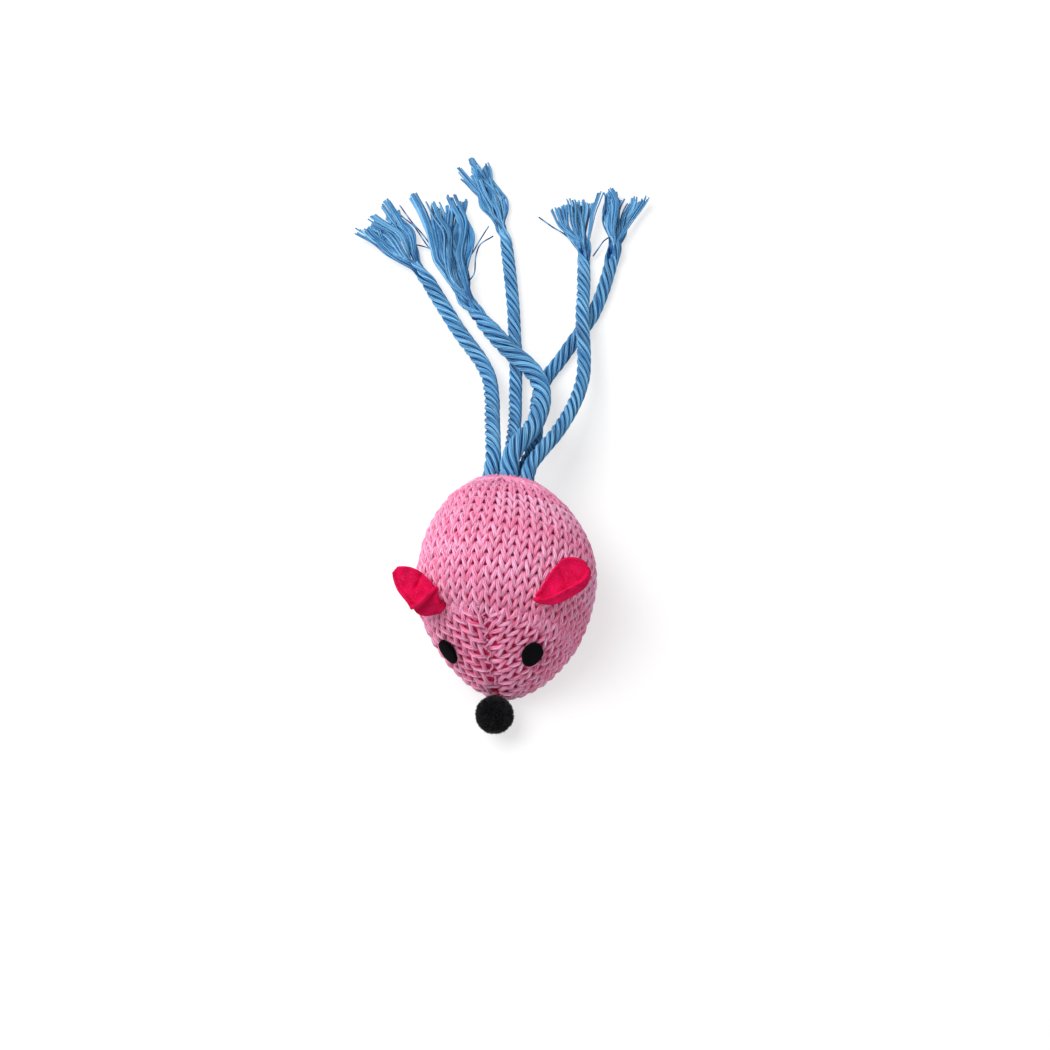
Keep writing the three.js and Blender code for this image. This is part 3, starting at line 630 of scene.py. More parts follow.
class Cover:  # finds places on the body from its girth
    def __init__(self, s):
        count = s["coverRings"]
        self.sides = s["coverSides"]
        self.stations = [mix(mouthStation, s["tip"], i / count) for i in range(count + 1)]
        self.tables = [self.ring(station) for station in self.stations]
        self.columns = round(max(length for _, length in self.tables) / s["columnWidth"])

    def ring(self, station):  # angles at even steps from the belly to the top, and the length between them
        sides = self.sides
        angles = [math.pi * (1 - j / sides) for j in range(sides + 1)]
        points = [bodyPoint(station, angle, 0) for angle in angles]
        arcs = [0]
        for p, q in zip(points, points[1:]):
            arcs.append(arcs[-1] + (q - p).length)
        even = []
        for j in range(sides + 1):
            arc = arcs[-1] * j / sides
            k = min(max(bisect_right(arcs, arc) - 1, 0), sides - 1)
            even.append(mix(angles[k], angles[k + 1], (arc - arcs[k]) / (arcs[k + 1] - arcs[k])))
        return even, arcs[-1]

    def between(self, station):
        along = (min(station, mouthStation) - self.stations[0]) / (self.stations[-1] - self.stations[0])
        along *= len(self.stations) - 1
        i = min(max(int(along), 0), len(self.stations) - 2)
        return i, along - i

    def girth(self, station):
        i, part = self.between(station)
        return mix(self.tables[i][1], self.tables[i + 1][1], part)

    def angle(self, share, station):  # 0 at the belly, 1 at the top
        i, part = self.between(station)
        place = min(abs(share), 1) * self.sides
        k = min(int(place), self.sides - 1)
        low, high = self.tables[i][0], self.tables[i + 1][0]
        value = mix(mix(low[k], low[k + 1], place - k), mix(high[k], high[k + 1], place - k), part)
        return math.copysign(value, share)

    def point(self, share, station):
        return skinPoint(station, self.angle(share, station), 0)


def stitchPoint(s, here, across, upward, phase, thin, tuck):
    outward = upward.cross(across).normalized()
    narrow = min(max(across.length / s["columnWidth"], s["thinnest"]), 1) ** s["thinning"]
    thick = narrow * thin * (1 + s["swell"] * noise.noise(here * s["swellScale"]))
    here = here + noise.noise_vector(here * s["unevenScale"]) * s["uneven"]
    return (here - outward * (s["inset"] * thick + tuck)) * mm, {
        "phase": phase, "across": across * mm, "upward": upward * mm, "outward": outward, "thick": thick,
    }


def backRows(cover, s):
    look = s["backLook"]

    def columnsAt(station):  # towards the tail columns end one by one along the back
        if station < s["settle"]:
            return cover.columns
        gathered = mix(1, s["mouthColumn"], smooth(s["settle"], mouthStation, station))
        return cover.girth(station) / max(cover.girth(station) / cover.columns, s["columnWidth"] * gathered)

    def heightAt(station):
        return s["rowHeight"] * mix(1, s["mouthRow"], smooth(s["rowSettle"], mouthStation, station))

    def place(column, station):
        return cover.point(math.copysign(min(abs(column) / columnsAt(station), 1), column), station)

    def gap(first, second):
        lengths = [(cover.point(share, first) - cover.point(share, second)).length for share in s["searchAt"]]
        return sum(lengths) / len(lengths)

    stations = [rimStation - s["rimGap"]]
    while stations[-1] > s["backEnd"]:
        near, far = stations[-1], stations[-1] - s["rowSearch"]
        for _ in range(s["searchSteps"]):
            middle = (near + far) / 2
            near, far = (middle, far) if gap(middle, stations[-1]) < heightAt(middle) else (near, middle)
        stations.append(far)
    final = len(stations) - 1
    lines = []
    for i, station in enumerate(stations):
        reach = columnsAt(station)
        count = round(2 * reach * s["steps"])
        before, after = stations[min(i + 1, final)], stations[max(i - 1, 0)]
        low, high = (s[limit] * heightAt(station) for limit in ("shortest", "tallest"))
        deepest = s["tuck"] if reach < cover.columns - s["endsUnder"] else 0
        points = []
        for j in range(count + 1):
            column = mix(-reach, reach, j / count)
            across = (place(column + look, station) - place(column - look, station)) / (2 * look)
            rise = (place(column, after) - place(column, before)) / (2 if 0 < i < final else 1)
            upward = rise.normalized() * min(max(rise.length, low), high)
            tuck = deepest * smooth(s["tuckFrom"], 0, reach - abs(column))
            points.append(stitchPoint(s, place(column, station), across, upward, fullTurn * column, 1, tuck))
        lines.append((points, False))
    return lines


def faceRows(cover, s, half):  # the face is close to a cone, so each half is laid out flat
    side, count, look = half["side"], s["faceSteps"], s["faceLook"]
    stations = [mix(s["tip"], s["backEnd"] + s["faceBeyond"], i / count) for i in range(count + 1)]
    slants = [s["faceTip"]]
    for low, high in zip(stations, stations[1:]):
        gap = bodyPoint(high, s["faceAngle"], 0) - bodyPoint(low, s["faceAngle"], 0)
        slants.append(slants[-1] + gap.length)
    sector = cover.girth(stations[count // 2]) / slants[count // 2]
    brow = slants[min(range(count + 1), key=lambda i: abs(stations[i] - s["backEnd"]))] + s["faceOverlap"]
    turned = sector - math.radians(half["lean"])
    column = Vector((math.cos(turned), math.sin(turned), 0))
    row = Vector((-math.sin(turned), math.cos(turned), 0))

    def spread(x, k):  # how far from the tip, and the share of the way round
        flat = row * x * s["faceWidth"] + column * k * s["faceHeight"]
        return flat.length, math.atan2(flat.y, flat.x) / sector

    def onBody(x, k):
        slant, share = spread(x, k)
        i = min(max(bisect_right(slants, slant) - 1, 0), count - 1)
        station = mix(stations[i], stations[i + 1], (slant - slants[i]) / (slants[i + 1] - slants[i]))
        return cover.point(side * min(max(share, s["offBelly"]), 1), station)

    lines = []
    limit = (round(brow / s["faceWidth"]) + 1) * s["steps"]
    rows = round(brow / s["faceHeight"]) + 1
    for k in range(-rows, rows + 1):
        run = []
        for j in range(-limit, limit + 2):
            x = j / s["steps"]
            slant, share = spread(x, k)
            if j <= limit and slants[0] < slant < brow and 0 < share < 1:
                across = (onBody(x + look, k) - onBody(x - look, k)) / (2 * look) * side
                upward = (onBody(x, k + look) - onBody(x, k - look)) / (2 * look)
                toSeam = (1 - share) * sector * slant / s["faceWidth"]
                toBrow = (brow - slant) / s["faceHeight"]
                tuck = s["tuck"] * max(smooth(s["tuckFrom"], 0, toSeam), smooth(*s["browTuck"], toBrow))
                run.append(stitchPoint(s, onBody(x, k), across, upward, fullTurn * x, s["faceThin"], tuck))
            elif run:
                if len(run) > s["steps"] * s["shortRun"]:
                    lines.append((run, False))
                run = []
    return lines


def makeKnit(s, tree):
    noise.seed_set(s["seed"])  # or the clock sets it
    cover = Cover(s)
    made = 0
    fabrics = [(backRows(cover, s), s["tree"], s["pieces"])]
    fabrics += [(faceRows(cover, s, half), dict(s["tree"], **half["tree"]), 1) for half in s["halves"]]
    for rows, sizes, parts in fabrics:
        whole = sum(len(points) for points, _ in rows)
        batch, held = [], 0
        for row in rows:
            batch.append(row)
            held += len(row[0])
            if held >= whole / parts or row is rows[-1]:
                made += 1
                name = f"knit_rows_{made}"
                piece = grow(name, tree, lineMesh(name, batch), pinkYarn, sizes)
                attach(piece, "mouse", "knit_cover")
                batch, held = [], 0
        print(len(rows), "rows of stitches")


knitTree = makeKnitTree(knit)
makeKnit(knit, knitTree)


# Lining bag under the knit, closed round the tail

lining = {
    "inset": 2.1, "deepest": 2.8, "rings": 90, "sides": 120, "snoutGap": 0.05,
    "mouthLip": 3, "lipSizes": (0.97, 0.86, 0.6),  # the rim turns in round the ropes
    "fill": 0.8,
}


def makeLining(s):
    sides = s["sides"]
    angles = [math.remainder(fullTurn * k / sides, fullTurn) for k in range(sides)]
    rings = []
    for i in range(s["rings"]):
        station = math.sin(mix(-math.pi / 2 + s["snoutGap"], math.asin(mouthStation), i / (s["rings"] - 1)))
        depths = [min(s["inset"] + dent(station, angle), s["deepest"]) for angle in angles]
        rings.append([bodyPoint(station, angle, depth) for angle, depth in zip(angles, depths)])
    rim = rings[-1]
    centre = sum(rim, Vector()) / sides
    for size in s["lipSizes"]:
        lip = Vector((0, -s["mouthLip"] * (1 - size), 0))
        rings.append([centre + (p - centre) * size + lip for p in rim])
    points = [p * mm for ring in rings for p in ring]
    faces = ringFaces(len(rings), sides)
    points.append(skinPoint(-1, 0, s["inset"]) * mm)
    points.append((centre + Vector((0, -2 * s["mouthLip"], 0))) * mm)
    last = (len(rings) - 1) * sides
    for k in range(sides):
        j = (k + 1) % sides
        faces.append((len(points) - 2, j, k))
        faces.append((len(points) - 1, last + k, last + j))
    piece = addPiece("lining_cloth", points, faces, pinkLining)
    attach(piece, "mouse", "lining_bag")


makeLining(lining)
print("lining made")


# Tail ropes: strands of yarn laid round each other, opening out into a loose end

ropes = [  # routes in millimetres, with heights under the rope before the lying gap, and headings in degrees
    {
        "body": "rope_1", "diameter": 5.4,
        "route": [
            (-10.2, 39.5, 25.6), (-11.6, 45, 23.4), (-13.2, 50, 20.6), (-15, 55.5, 17.2), (-16.8, 61, 13.6),
            (-18.6, 67, 10), (-20.6, 72.5, 6.8), (-22.8, 78, 3.8), (-25.3, 82.5, 1.8), (-28.4, 87, 0.6),
            (-32.4, 91.6, 0.1), (-37.8, 97.5, 0), (-43, 104, 0), (-48.2, 110.6, 0), (-53.3, 117.1, 0),
            (-59, 123.4, 0),
        ],
        "fray": {"length": 27, "heading": 136, "spread": 10.3, "seed": 3},
    },
    {
        "body": "rope_2", "diameter": 6.4,
        "route": [
            (-3.7, 39.5, 27.3), (-2.8, 43.5, 26.9), (-1.5, 47.9, 24.9), (-0.4, 52, 22.1), (0.1, 56, 19.5),
            (0.2, 60, 17), (-0.1, 64.3, 14.6), (-0.8, 68.3, 12.3), (-2.2, 72.5, 9.9), (-4.3, 76.8, 7.9),
            (-7.2, 80.8, 6.5), (-11, 84.3, 5.8), (-16.3, 88.2, 5.5), (-22.5, 93.8, 5.1), (-27.8, 99.4, 3.5),
            (-33, 105, 1.1), (-39, 111.7, 0),
        ],
        "fray": {"length": 44, "heading": 109.5, "spread": 9.2, "seed": 8, "loose": 26},
    },
    {
        "body": "rope_3", "diameter": 4.7,
        "route": [
            (-6.4, 39.5, 21.2), (-6.6, 44, 19.4), (-7.2, 48.4, 17.2), (-8.1, 53, 14.4), (-9.2, 58, 11.2),
            (-10.4, 63, 8), (-11.6, 67.5, 5.4), (-12.8, 72, 3.1), (-13.9, 77, 1.3), (-15, 83, 0.3),
            (-16.2, 89.6, 0), (-18, 97.7, 0), (-20, 107.4, 0), (-22.3, 116.5, 0), (-24.5, 124.7, 0),
            (-27, 133.1, 0), (-30, 141.4, 0),
        ],
        "fray": {"length": 29, "heading": 122.5, "spread": 5.8, "seed": 5},
    },
    {
        "body": "rope_4", "diameter": 4.9,
        "route": [
            (2.7, 38.5, 25.7), (3.9, 42.6, 24.1), (5.6, 47.8, 21.5), (7.3, 53, 18.7), (8.6, 58.5, 15.9),
            (9.6, 64.2, 13.1), (10.3, 70, 10.5), (10.6, 75.5, 8.5), (10.5, 81, 7.1), (9.7, 86.6, 6.3),
            (8.8, 91.5, 5.9), (7.7, 96.5, 5.8), (6.7, 101.5, 5.6), (5.7, 107, 4.9), (4.6, 113.2, 2.3),
            (3.5, 119.5, 0.5), (2.4, 126, 0), (0.7, 135.3, 0),
        ],
        "fray": {"length": 19, "heading": 104, "spread": 10.3, "seed": 11},
    },
    {
        "body": "rope_5", "diameter": 4.9,
        "route": [
            (-0.6, 39.5, 20.9), (0, 44, 18.9), (0.2, 48.5, 16.5), (-0.4, 53, 13.9), (-1.5, 57.5, 11.1),
            (-2.7, 62, 8.4), (-3.9, 66.5, 5.9), (-4.8, 71, 3.7), (-5, 75.5, 2), (-4.4, 79.8, 0.8),
            (-2.8, 84.2, 0.2), (-0.3, 88.9, 0), (2.6, 95, 0), (5.4, 100.6, 0), (8.2, 106.2, 0),
            (10.2, 113.9, 0), (11.3, 121, 0), (12, 128.1, 0), (12.7, 136.9, 0),
        ],
        "fray": {"length": 20.5, "heading": 88, "spread": 10, "seed": 14},
    },
]
ropeSet = {
    "lyingGap": 0.1, "step": 0.6, "perSpan": 12, "looseLength": 14, "overlap": 0.7, "pathPoints": 32,
    "unfrayed": 1000,  # a laid length past the end of every line that stays laid
    "fanBend": 8, "fanHeight": 0.5, "fanPower": 0.75, "fanFrom": 1.2, "fanUpFrom": 1.1, "openBy": 0.45,
    "uneven": 0.22, "shortLock": 0.75, "shortYarn": 0.25,
    "ripple": 45, "rippleDetail": 0.5, "lockApart": 3.7, "yarnApart": 0.01,
    # crest values give the yarns painted shade: darker inside a laid strand, a random darkness when loose
    "laidCrestShade": (0.7, 0.28), "looseCrestShade": (0.55, 1.0), "strayRadius": 0.25, "fillerSeed": 50,
    "seeds": {
        "across": 1.0, "up": 2.0, "shortYarn": 3.0, "own": 4.0, "crest": 5.0, "scatter": 7.0, "lock": 20,
        "shortLock": 31.0,
    },
    "tree": {
        "Strands": 6, "Yarns": 7, "Strand Offset": 0.66, "Strand Radius": 0.345, "Yarn Radius": 0.105,
        "Lead": -4.4, "Yarn Lead": 12.0, "From": 0.0, "To": 1.0, "Uneven": 0.0, "Scatter": 0.0, "Wave": 0.013,
        "Locks": 6, "Lock Spread": 0.85, "Yarn Spread": 0.2, "Seed": 1, "Sides": 5,
    },
    "filler": {  # loose yarns that fill a frayed end
        "Strands": 1, "Yarns": 64, "Strand Offset": 0.0, "Strand Radius": 0.8, "Yarn Radius": 0.14,
        "Scatter": 0.8,
    },
    "single": {"Strands": 1, "Yarns": 1, "Strand Offset": 0.0, "Strand Radius": 1.0, "Yarn Radius": 1.0},
}
strays = {  # threads pulled out of the frayed ends, by rope
    2: [
        [(-49.9, 128.1, 2.2), (-56.4, 130.7, 2.2), (-64.4, 132.7, 0.8)],
        [(-50, 126, 2.6), (-55.6, 130.9, 2.6), (-62.7, 139.2, 2), (-67.3, 142.7, 1.4), (-71.2, 145.9, 0.6)],
        [(-50, 126, 2.2), (-58, 135.2, 2.2), (-63.9, 141.1, 1.6), (-69.9, 148.1, 0.6)],
        [(-43, 123, 2.4), (-39.2, 128.2, 2.4), (-36.4, 132.6, 4.6), (-33.4, 138.1, 6.2)],
        [(-40, 115.5, 2.6), (-36.7, 120.4, 2.6), (-36.6, 126.6, 4.4), (-35.4, 130.7, 5.8), (-31, 134.1, 6.4)],
    ],
    4: [[(-0.5, 132, 2.4), (-5.7, 137.7, 2.4), (-11.6, 141.5, 1.6), (-17.4, 145.7, 0.6)]],
    5: [[(11, 138.6, 2.8), (8.2, 136.4, 2.6), (6.6, 133.4, 2.4), (5, 130.3, 2)]],
}
pivots = {joint["child"]: Vector(joint["pos_m"]) / mm for joint in frame["joints"]}


def makeRopeTree(s):
    tree, given = startTree("laidRope", s["tree"])
    seeds = s["seeds"]
    curve = addNode(tree, "GeometryNodeMeshToCurve", {"Mesh": given["Geometry"]}).outputs[0]
    count = times(tree, given["Strands"], given["Yarns"])
    copies = addNode(
        tree, "GeometryNodeDuplicateElements", {"Geometry": curve, "Amount": count}, domain="SPLINE"
    )
    number = copies.outputs["Duplicate Index"]
    along, radius, opening = (attribute(tree, name) for name in ("along", "radius", "opening"))
    side, over, fanSide, fanUp = (
        attribute(tree, name, "FLOAT_VECTOR") for name in ("side", "over", "fanSide", "fanUp")
    )

    def chance(low, high, item, seed):
        return randomFor(tree, low, high, item, plus(tree, given["Seed"], seed))

    def evenly(limit, item, seed):
        return chance(times(tree, limit, -1.0), limit, item, seed)

    def around(first, second, turned):
        x = scaled(tree, first, calc(tree, "COSINE", turned))
        return added(tree, x, scaled(tree, second, calc(tree, "SINE", turned)))

    # laid part
    byYarns = calc(tree, "DIVIDE", number, given["Yarns"])
    strand = calc(tree, "FLOOR", byYarns)
    length = calc(tree, "DIVIDE", along, times(tree, radius, 2.0))  # in rope diameters
    turnShare = calc(tree, "DIVIDE", strand, given["Strands"])
    turnShare = plus(tree, turnShare, calc(tree, "DIVIDE", length, given["Lead"]))
    angle = times(tree, turnShare, fullTurn)
    ownAngle = times(tree, minus(tree, byYarns, calc(tree, "DIVIDE", length, given["Yarn Lead"])), fullTurn)
    outward = around(side, over, angle)
    tangential = around(side, over, plus(tree, angle, fullTurn / 4))
    scatter = chance(0.0, 1.0, number, seeds["scatter"])
    kept = minus(tree, 1.0, times(tree, given["Scatter"], scatter))
    thick = times(tree, radius, given["Yarn Radius"])
    yarnOut = minus(tree, times(tree, radius, given["Strand Radius"], kept), thick)
    laid = scaled(tree, outward, times(tree, radius, given["Strand Offset"]))
    laid = added(tree, laid, scaled(tree, around(outward, tangential, ownAngle), yarnOut))

    # frayed end, where a strand's yarns cling together in a lock
    lock = calc(tree, "FLOOR", calc(tree, "DIVIDE", times(tree, number, given["Locks"]), count))

    def fanShare(seed):
        shared = evenly(given["Lock Spread"], lock, seed + seeds["lock"])
        return plus(tree, shared, evenly(given["Yarn Spread"], number, seed))

    fan = scaled(tree, fanSide, fanShare(seeds["across"]))
    fan = added(tree, fan, scaled(tree, fanUp, fanShare(seeds["up"])))
    offset = added(tree, scaled(tree, laid, minus(tree, 1.0, opening)), scaled(tree, fan, opening))
    apart = plus(tree, times(tree, lock, s["lockApart"]), times(tree, number, s["yarnApart"]))
    place = addNode(tree, "ShaderNodeCombineXYZ", {"X": apart, "Y": along}).outputs[0]
    place = vec(tree, "MULTIPLY", place, (1, s["ripple"], 1))
    plugs = {"Vector": place, "Scale": 1.0, "Detail": s["rippleDetail"]}
    ripple = addNode(tree, "ShaderNodeTexNoise", plugs).outputs["Color"]
    wave = vec(tree, "SUBTRACT", ripple, (0.5, 0.5, 0.5))
    offset = added(tree, offset, scaled(tree, wave, times(tree, given["Wave"], opening)))
    moved = aboveFloor(tree, moveTo(tree, copies.outputs[0], "Offset", offset), thick)

    # ends of uneven length, and values for the material
    shorter = chance(0.0, s["shortLock"], lock, seeds["shortLock"])
    shorter = plus(tree, shorter, chance(0.0, s["shortYarn"], number, seeds["shortYarn"]))
    last = minus(tree, given["To"], times(tree, given["Uneven"], shorter))
    early, late = calc(tree, "LESS_THAN", along, given["From"]), calc(tree, "GREATER_THAN", along, last)
    plugs = {"Geometry": moved, "Selection": calc(tree, "MAXIMUM", early, late)}
    yarns = addNode(tree, "GeometryNodeDeleteGeometry", plugs, domain="POINT").outputs[0]
    yarns = store(tree, yarns, "own", chance(0.0, 1.0, number, seeds["own"]))
    # painted shade: a laid strand's inner yarns get a low crest value and look darker; loose yarns get a
    # random one
    swing, middle = s["laidCrestShade"]
    laidCrestShade = plus(tree, times(tree, calc(tree, "COSINE", ownAngle), swing), middle)
    plugs = {"Factor": opening, "A": laidCrestShade, "B": chance(*s["looseCrestShade"], number, seeds["crest"])}
    yarns = store(tree, yarns, "crest", addNode(tree, "ShaderNodeMix", plugs, data_type="FLOAT").outputs[0])
    endTree(tree, tube(tree, yarns, 1.0, given["Sides"], thick), given["Material"])
    return tree


def centripetal(points, per):  # the same curve as the solid follows
    least = 1e-6  # so that no gap is nothing
    ends = [points[0] * 2 - points[1], *points, points[-1] * 2 - points[-2]]
    dense = []
    for p, q, r, s in zip(ends, ends[1:], ends[2:], ends[3:]):
        gaps = [max((b - a).length, least) ** 0.5 for a, b in ((p, q), (q, r), (r, s))]
        t1 = gaps[0]
        t2 = t1 + gaps[1]
        t3 = t2 + gaps[2]
        for i in range(per):
            t = mix(t1, t2, i / per)
            a1 = p * ((t1 - t) / t1) + q * (t / t1)
            a2 = q * ((t2 - t) / (t2 - t1)) + r * ((t - t1) / (t2 - t1))
            a3 = r * ((t3 - t) / (t3 - t2)) + s * ((t - t2) / (t3 - t2))
            b1 = a1 * ((t2 - t) / t2) + a2 * (t / t2)
            b2 = a2 * ((t3 - t) / (t3 - t1)) + a3 * ((t - t1) / (t3 - t1))
            dense.append(b1 * ((t2 - t) / (t2 - t1)) + b2 * ((t - t1) / (t2 - t1)))
    return dense + [points[-1]]


def evenPoints(points, step):
    lengths = [0]
    for p, q in zip(points, points[1:]):
        lengths.append(lengths[-1] + (q - p).length)
    count = max(round(lengths[-1] / step), 2)
    out = []
    for i in range(count + 1):
        length = lengths[-1] * i / count
        k = min(max(bisect_right(lengths, length) - 1, 0), len(points) - 2)
        out.append(points[k].lerp(points[k + 1], (length - lengths[k]) / (lengths[k + 1] - lengths[k])))
    return out, lengths[-1]


def ropeLine(places, laidLength, s, rope, along=0):
    radius = rope["diameter"] / 2
    fray = rope["fray"]
    heading = math.radians(fray["heading"])
    fanSide = Vector((-math.sin(heading), math.cos(heading), 0))
    points = []
    tangent = (places[1] - places[0]).normalized()
    side = tangent.cross(Vector((0, 0, 1))).normalized()
    for i, place in enumerate(places):
        if i:
            along += (place - places[i - 1]).length
            tangent = (places[min(i + 1, len(places) - 1)] - places[i - 1]).normalized()
            side = (side - tangent * side.dot(tangent)).normalized()
        past = (along - laidLength) / fray["length"]
        opening = smooth(-fray.get("loose", s["looseLength"]) / fray["length"], s["openBy"], past)
        width = mix(radius * s["fanFrom"], fray["spread"], max(past, 0) ** s["fanPower"])
        height = mix(radius * s["fanUpFrom"], width * s["fanHeight"], max(past, 0))
        points.append((place * mm, {
            "along": along * mm,
            "radius": radius * mm,
            "opening": opening,
            "side": side,
            "over": tangent.cross(side),
            "fanSide": fanSide * width * mm,
            "fanUp": Vector((0, 0, height * mm)),
        }))
    return points


def makeStrays(rope, number, s, tree):
    thread = dict(rope, diameter=2 * s["strayRadius"])
    lines = []
    for places in strays[number]:
        places, _ = evenPoints(centripetal([Vector(place) for place in places], s["perSpan"]), s["step"])
        lines.append((ropeLine(places, s["unfrayed"], s, thread), False))
    sizes = dict(s["tree"], **s["single"])
    return grow(f"fray_{number}_strays", tree, lineMesh("strayLines", lines), blueCotton, sizes)


def makeHeldEnd(rope, number, s, tree, sizes):  # inside the body
    pivot = pivots[rope["body"]]
    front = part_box(f"tail_end_{number}")[0][1] / mm
    places, _ = evenPoints([Vector((pivot.x, y, pivot.z)) for y in (front, pivot.y + s["step"])], s["step"])
    line = [(ropeLine(places, s["unfrayed"], s, rope, front - pivot.y), False)]
    piece = grow(f"held_rope_{number}", tree, lineMesh("heldLine", line), blueCotton, dict(sizes, From=-1.0))
    attach(piece, "mouse", f"tail_end_{number}")


def makeRope(rope, number, s, tree):
    pivot = pivots[rope["body"]]
    lying = rope["diameter"] / 2 + s["lyingGap"]
    route = [pivot] + [Vector((x, y, height + lying)) for x, y, height in rope["route"]]
    laid, laidLength = evenPoints(centripetal(route, s["perSpan"]), s["step"])
    fray = rope["fray"]
    heading = math.radians(fray["heading"])
    direction = Vector((math.cos(heading), math.sin(heading), 0))
    ropeEnd = (laid[-1] - laid[-3]).normalized()
    spine = []
    place = laid[-1]
    for i in range(round(fray["length"] / s["step"])):
        bend = smooth(0, s["fanBend"], i * s["step"])
        place = place + ropeEnd.lerp(direction, bend).normalized() * s["step"]
        spine.append(place)
    line = [(ropeLine(laid + spine, laidLength, s, rope), False)]
    end = laidLength * mm
    sizes = dict(s["tree"], Seed=fray["seed"])
    loose = dict(
        sizes, From=end - s["overlap"] * s["step"] * mm, To=end + fray["length"] * mm,
        Uneven=fray["length"] * s["uneven"] * mm,
    )
    inner = dict(loose, **s["filler"])
    inner["From"] = end - fray.get("loose", s["looseLength"]) * mm
    inner["Seed"] = fray["seed"] + s["fillerSeed"]
    wanted = {f"rope_{number}": dict(sizes, To=end), f"fray_{number}": loose, f"fray_{number}_inner": inner}
    ropePiece, *looseEnds = (
        grow(name, tree, lineMesh(name + "Line", line), blueCotton, values) for name, values in wanted.items()
    )
    if number in strays:
        looseEnds.append(makeStrays(rope, number, s, tree))
    attach(ropePiece, rope["body"], f"tail_rope_{number}")
    attach(looseEnds[0], rope["body"], f"tail_fray_{number}")
    for piece in looseEnds[1:]:
        attach(piece, rope["body"])
    makeHeldEnd(rope, number, s, tree, sizes)
    print("rope", number, "laid length", round(laidLength, 1))


ropeTree = makeRopeTree(ropeSet)
for ropeNumber, rope in enumerate(ropes, 1):
    makeRope(rope, ropeNumber, ropeSet, ropeTree)


# Threads: the one that gathers the knit round the tail, and the sewn lines of the face

threads = {
    "gatherWraps": [(0.82, 0.2, 0.7), (0.76, -0.6, 0.7)],  # size of the ring, millimetres back, thickness
    "steps": 160, "gatherTwist": 8, "gatherApart": 40,
    "seamSteps": 150, "seamThick": 0.45, "seamInset": 1.0, "seamTwists": 20, "seamAbove": 2,
    "seamFrom": -0.5, "seamTo": -0.955, "seamStitch": 3.2, "seamSway": 0.75, "seamSlope": 1.3,
    "browStation": -0.475, "browReach": 27, "browSway": 0.25, "browStitches": 6,
}


def threadPoint(place, phase, outward, thick):
    still = Vector((0, 0, 0))
    return place * mm, {"phase": phase, "across": still, "upward": still, "outward": outward, "thick": thick}


def makeThread(name, lines, node):
    piece = grow(name, knitTree, lineMesh(name + "Line", lines), pinkYarn, knit["tree"])
    attach(piece, "mouse", node)


def makeGather(s):  # the rim rolls in over the thread and closes on the ropes
    rim = [bodyPoint(mouthStation, fullTurn * k / s["steps"], 0) for k in range(s["steps"])]
    centre = sum(rim, Vector()) / len(rim)
    lines = []
    for size, out, thick in s["gatherWraps"]:
        points = []
        for k, place in enumerate(rim):
            place = centre + (place - centre) * size + Vector((0, out, 0))
            phase = fullTurn * k / s["gatherTwist"] + size * s["gatherApart"]
            points.append(threadPoint(place, phase, Vector((0, 1, 0)), thick))
        lines.append((points, True))
    makeThread("gather_yarn", lines, "gather_thread")


def sewLine(name, placeAt, node, s):
    points = []
    for k in range(s["seamSteps"] + 1):
        share = k / s["seamSteps"]
        station, angle = placeAt(share, s)
        place = skinPoint(station, angle, s["seamInset"])
        above = (skinPoint(station, angle, -s["seamAbove"]) - place).normalized()
        points.append(threadPoint(place, share * fullTurn * s["seamTwists"], above, s["seamThick"]))
    makeThread(name, [(points, False)], node)


def faceSeamAt(share, s):
    station = mix(s["seamFrom"], s["seamTo"], share)
    run = share * (s["seamFrom"] - s["seamTo"]) * body["frontLength"] * s["seamSlope"]
    width = body["halfWidth"] * taper(abs(station), body["taperStart"], body["snoutBlunt"])
    return station, s["seamSway"] * math.sin(fullTurn * run / s["seamStitch"]) / width


def browSeamAt(share, s):
    reach = math.radians(s["browReach"])
    sway = s["browSway"] * math.sin(fullTurn * share * s["browStitches"]) / body["frontLength"]
    return s["browStation"] + sway, mix(-reach, reach, share)


makeGather(threads)
sewLine("face_seam_thread", faceSeamAt, "face_seam", threads)
sewLine("brow_seam_thread", browSeamAt, "brow_seam", threads)


# Felt eyes

eyes = {
    "left": {"station": -0.744, "angle": -48, "turned": -4, "length": 9.0, "width": 6.4},
    "right": {"station": -0.715, "angle": 45.7, "turned": 9, "length": 9.6, "width": 6.6},
    "gap": 0.35, "thick": 1.3, "sides": 64, "ragged": 0.02, "raggedScale": 3, "raggedApart": 5,
    "under": (0.3, 0.6, 0.97),  # sizes of the rings below
    "edge": [(1, 0.25), (1, 0.65), (0.97, 0.88)],  # sizes and shares of the thickness
    "crown": [(0.9, 0), (0.7, 0.1), (0.4, 0.18), (0.15, 0.2)],  # sizes and millimetres over the thickness
    "scaleStep": 1e-3,
}


def surfaceNormal(station, angle):
    step = 1e-4
    along = bodyPoint(station + step, angle, 0) - bodyPoint(station - step, angle, 0)
    around = bodyPoint(station, angle + step, 0) - bodyPoint(station, angle - step, 0)
    return around.cross(along).normalized()


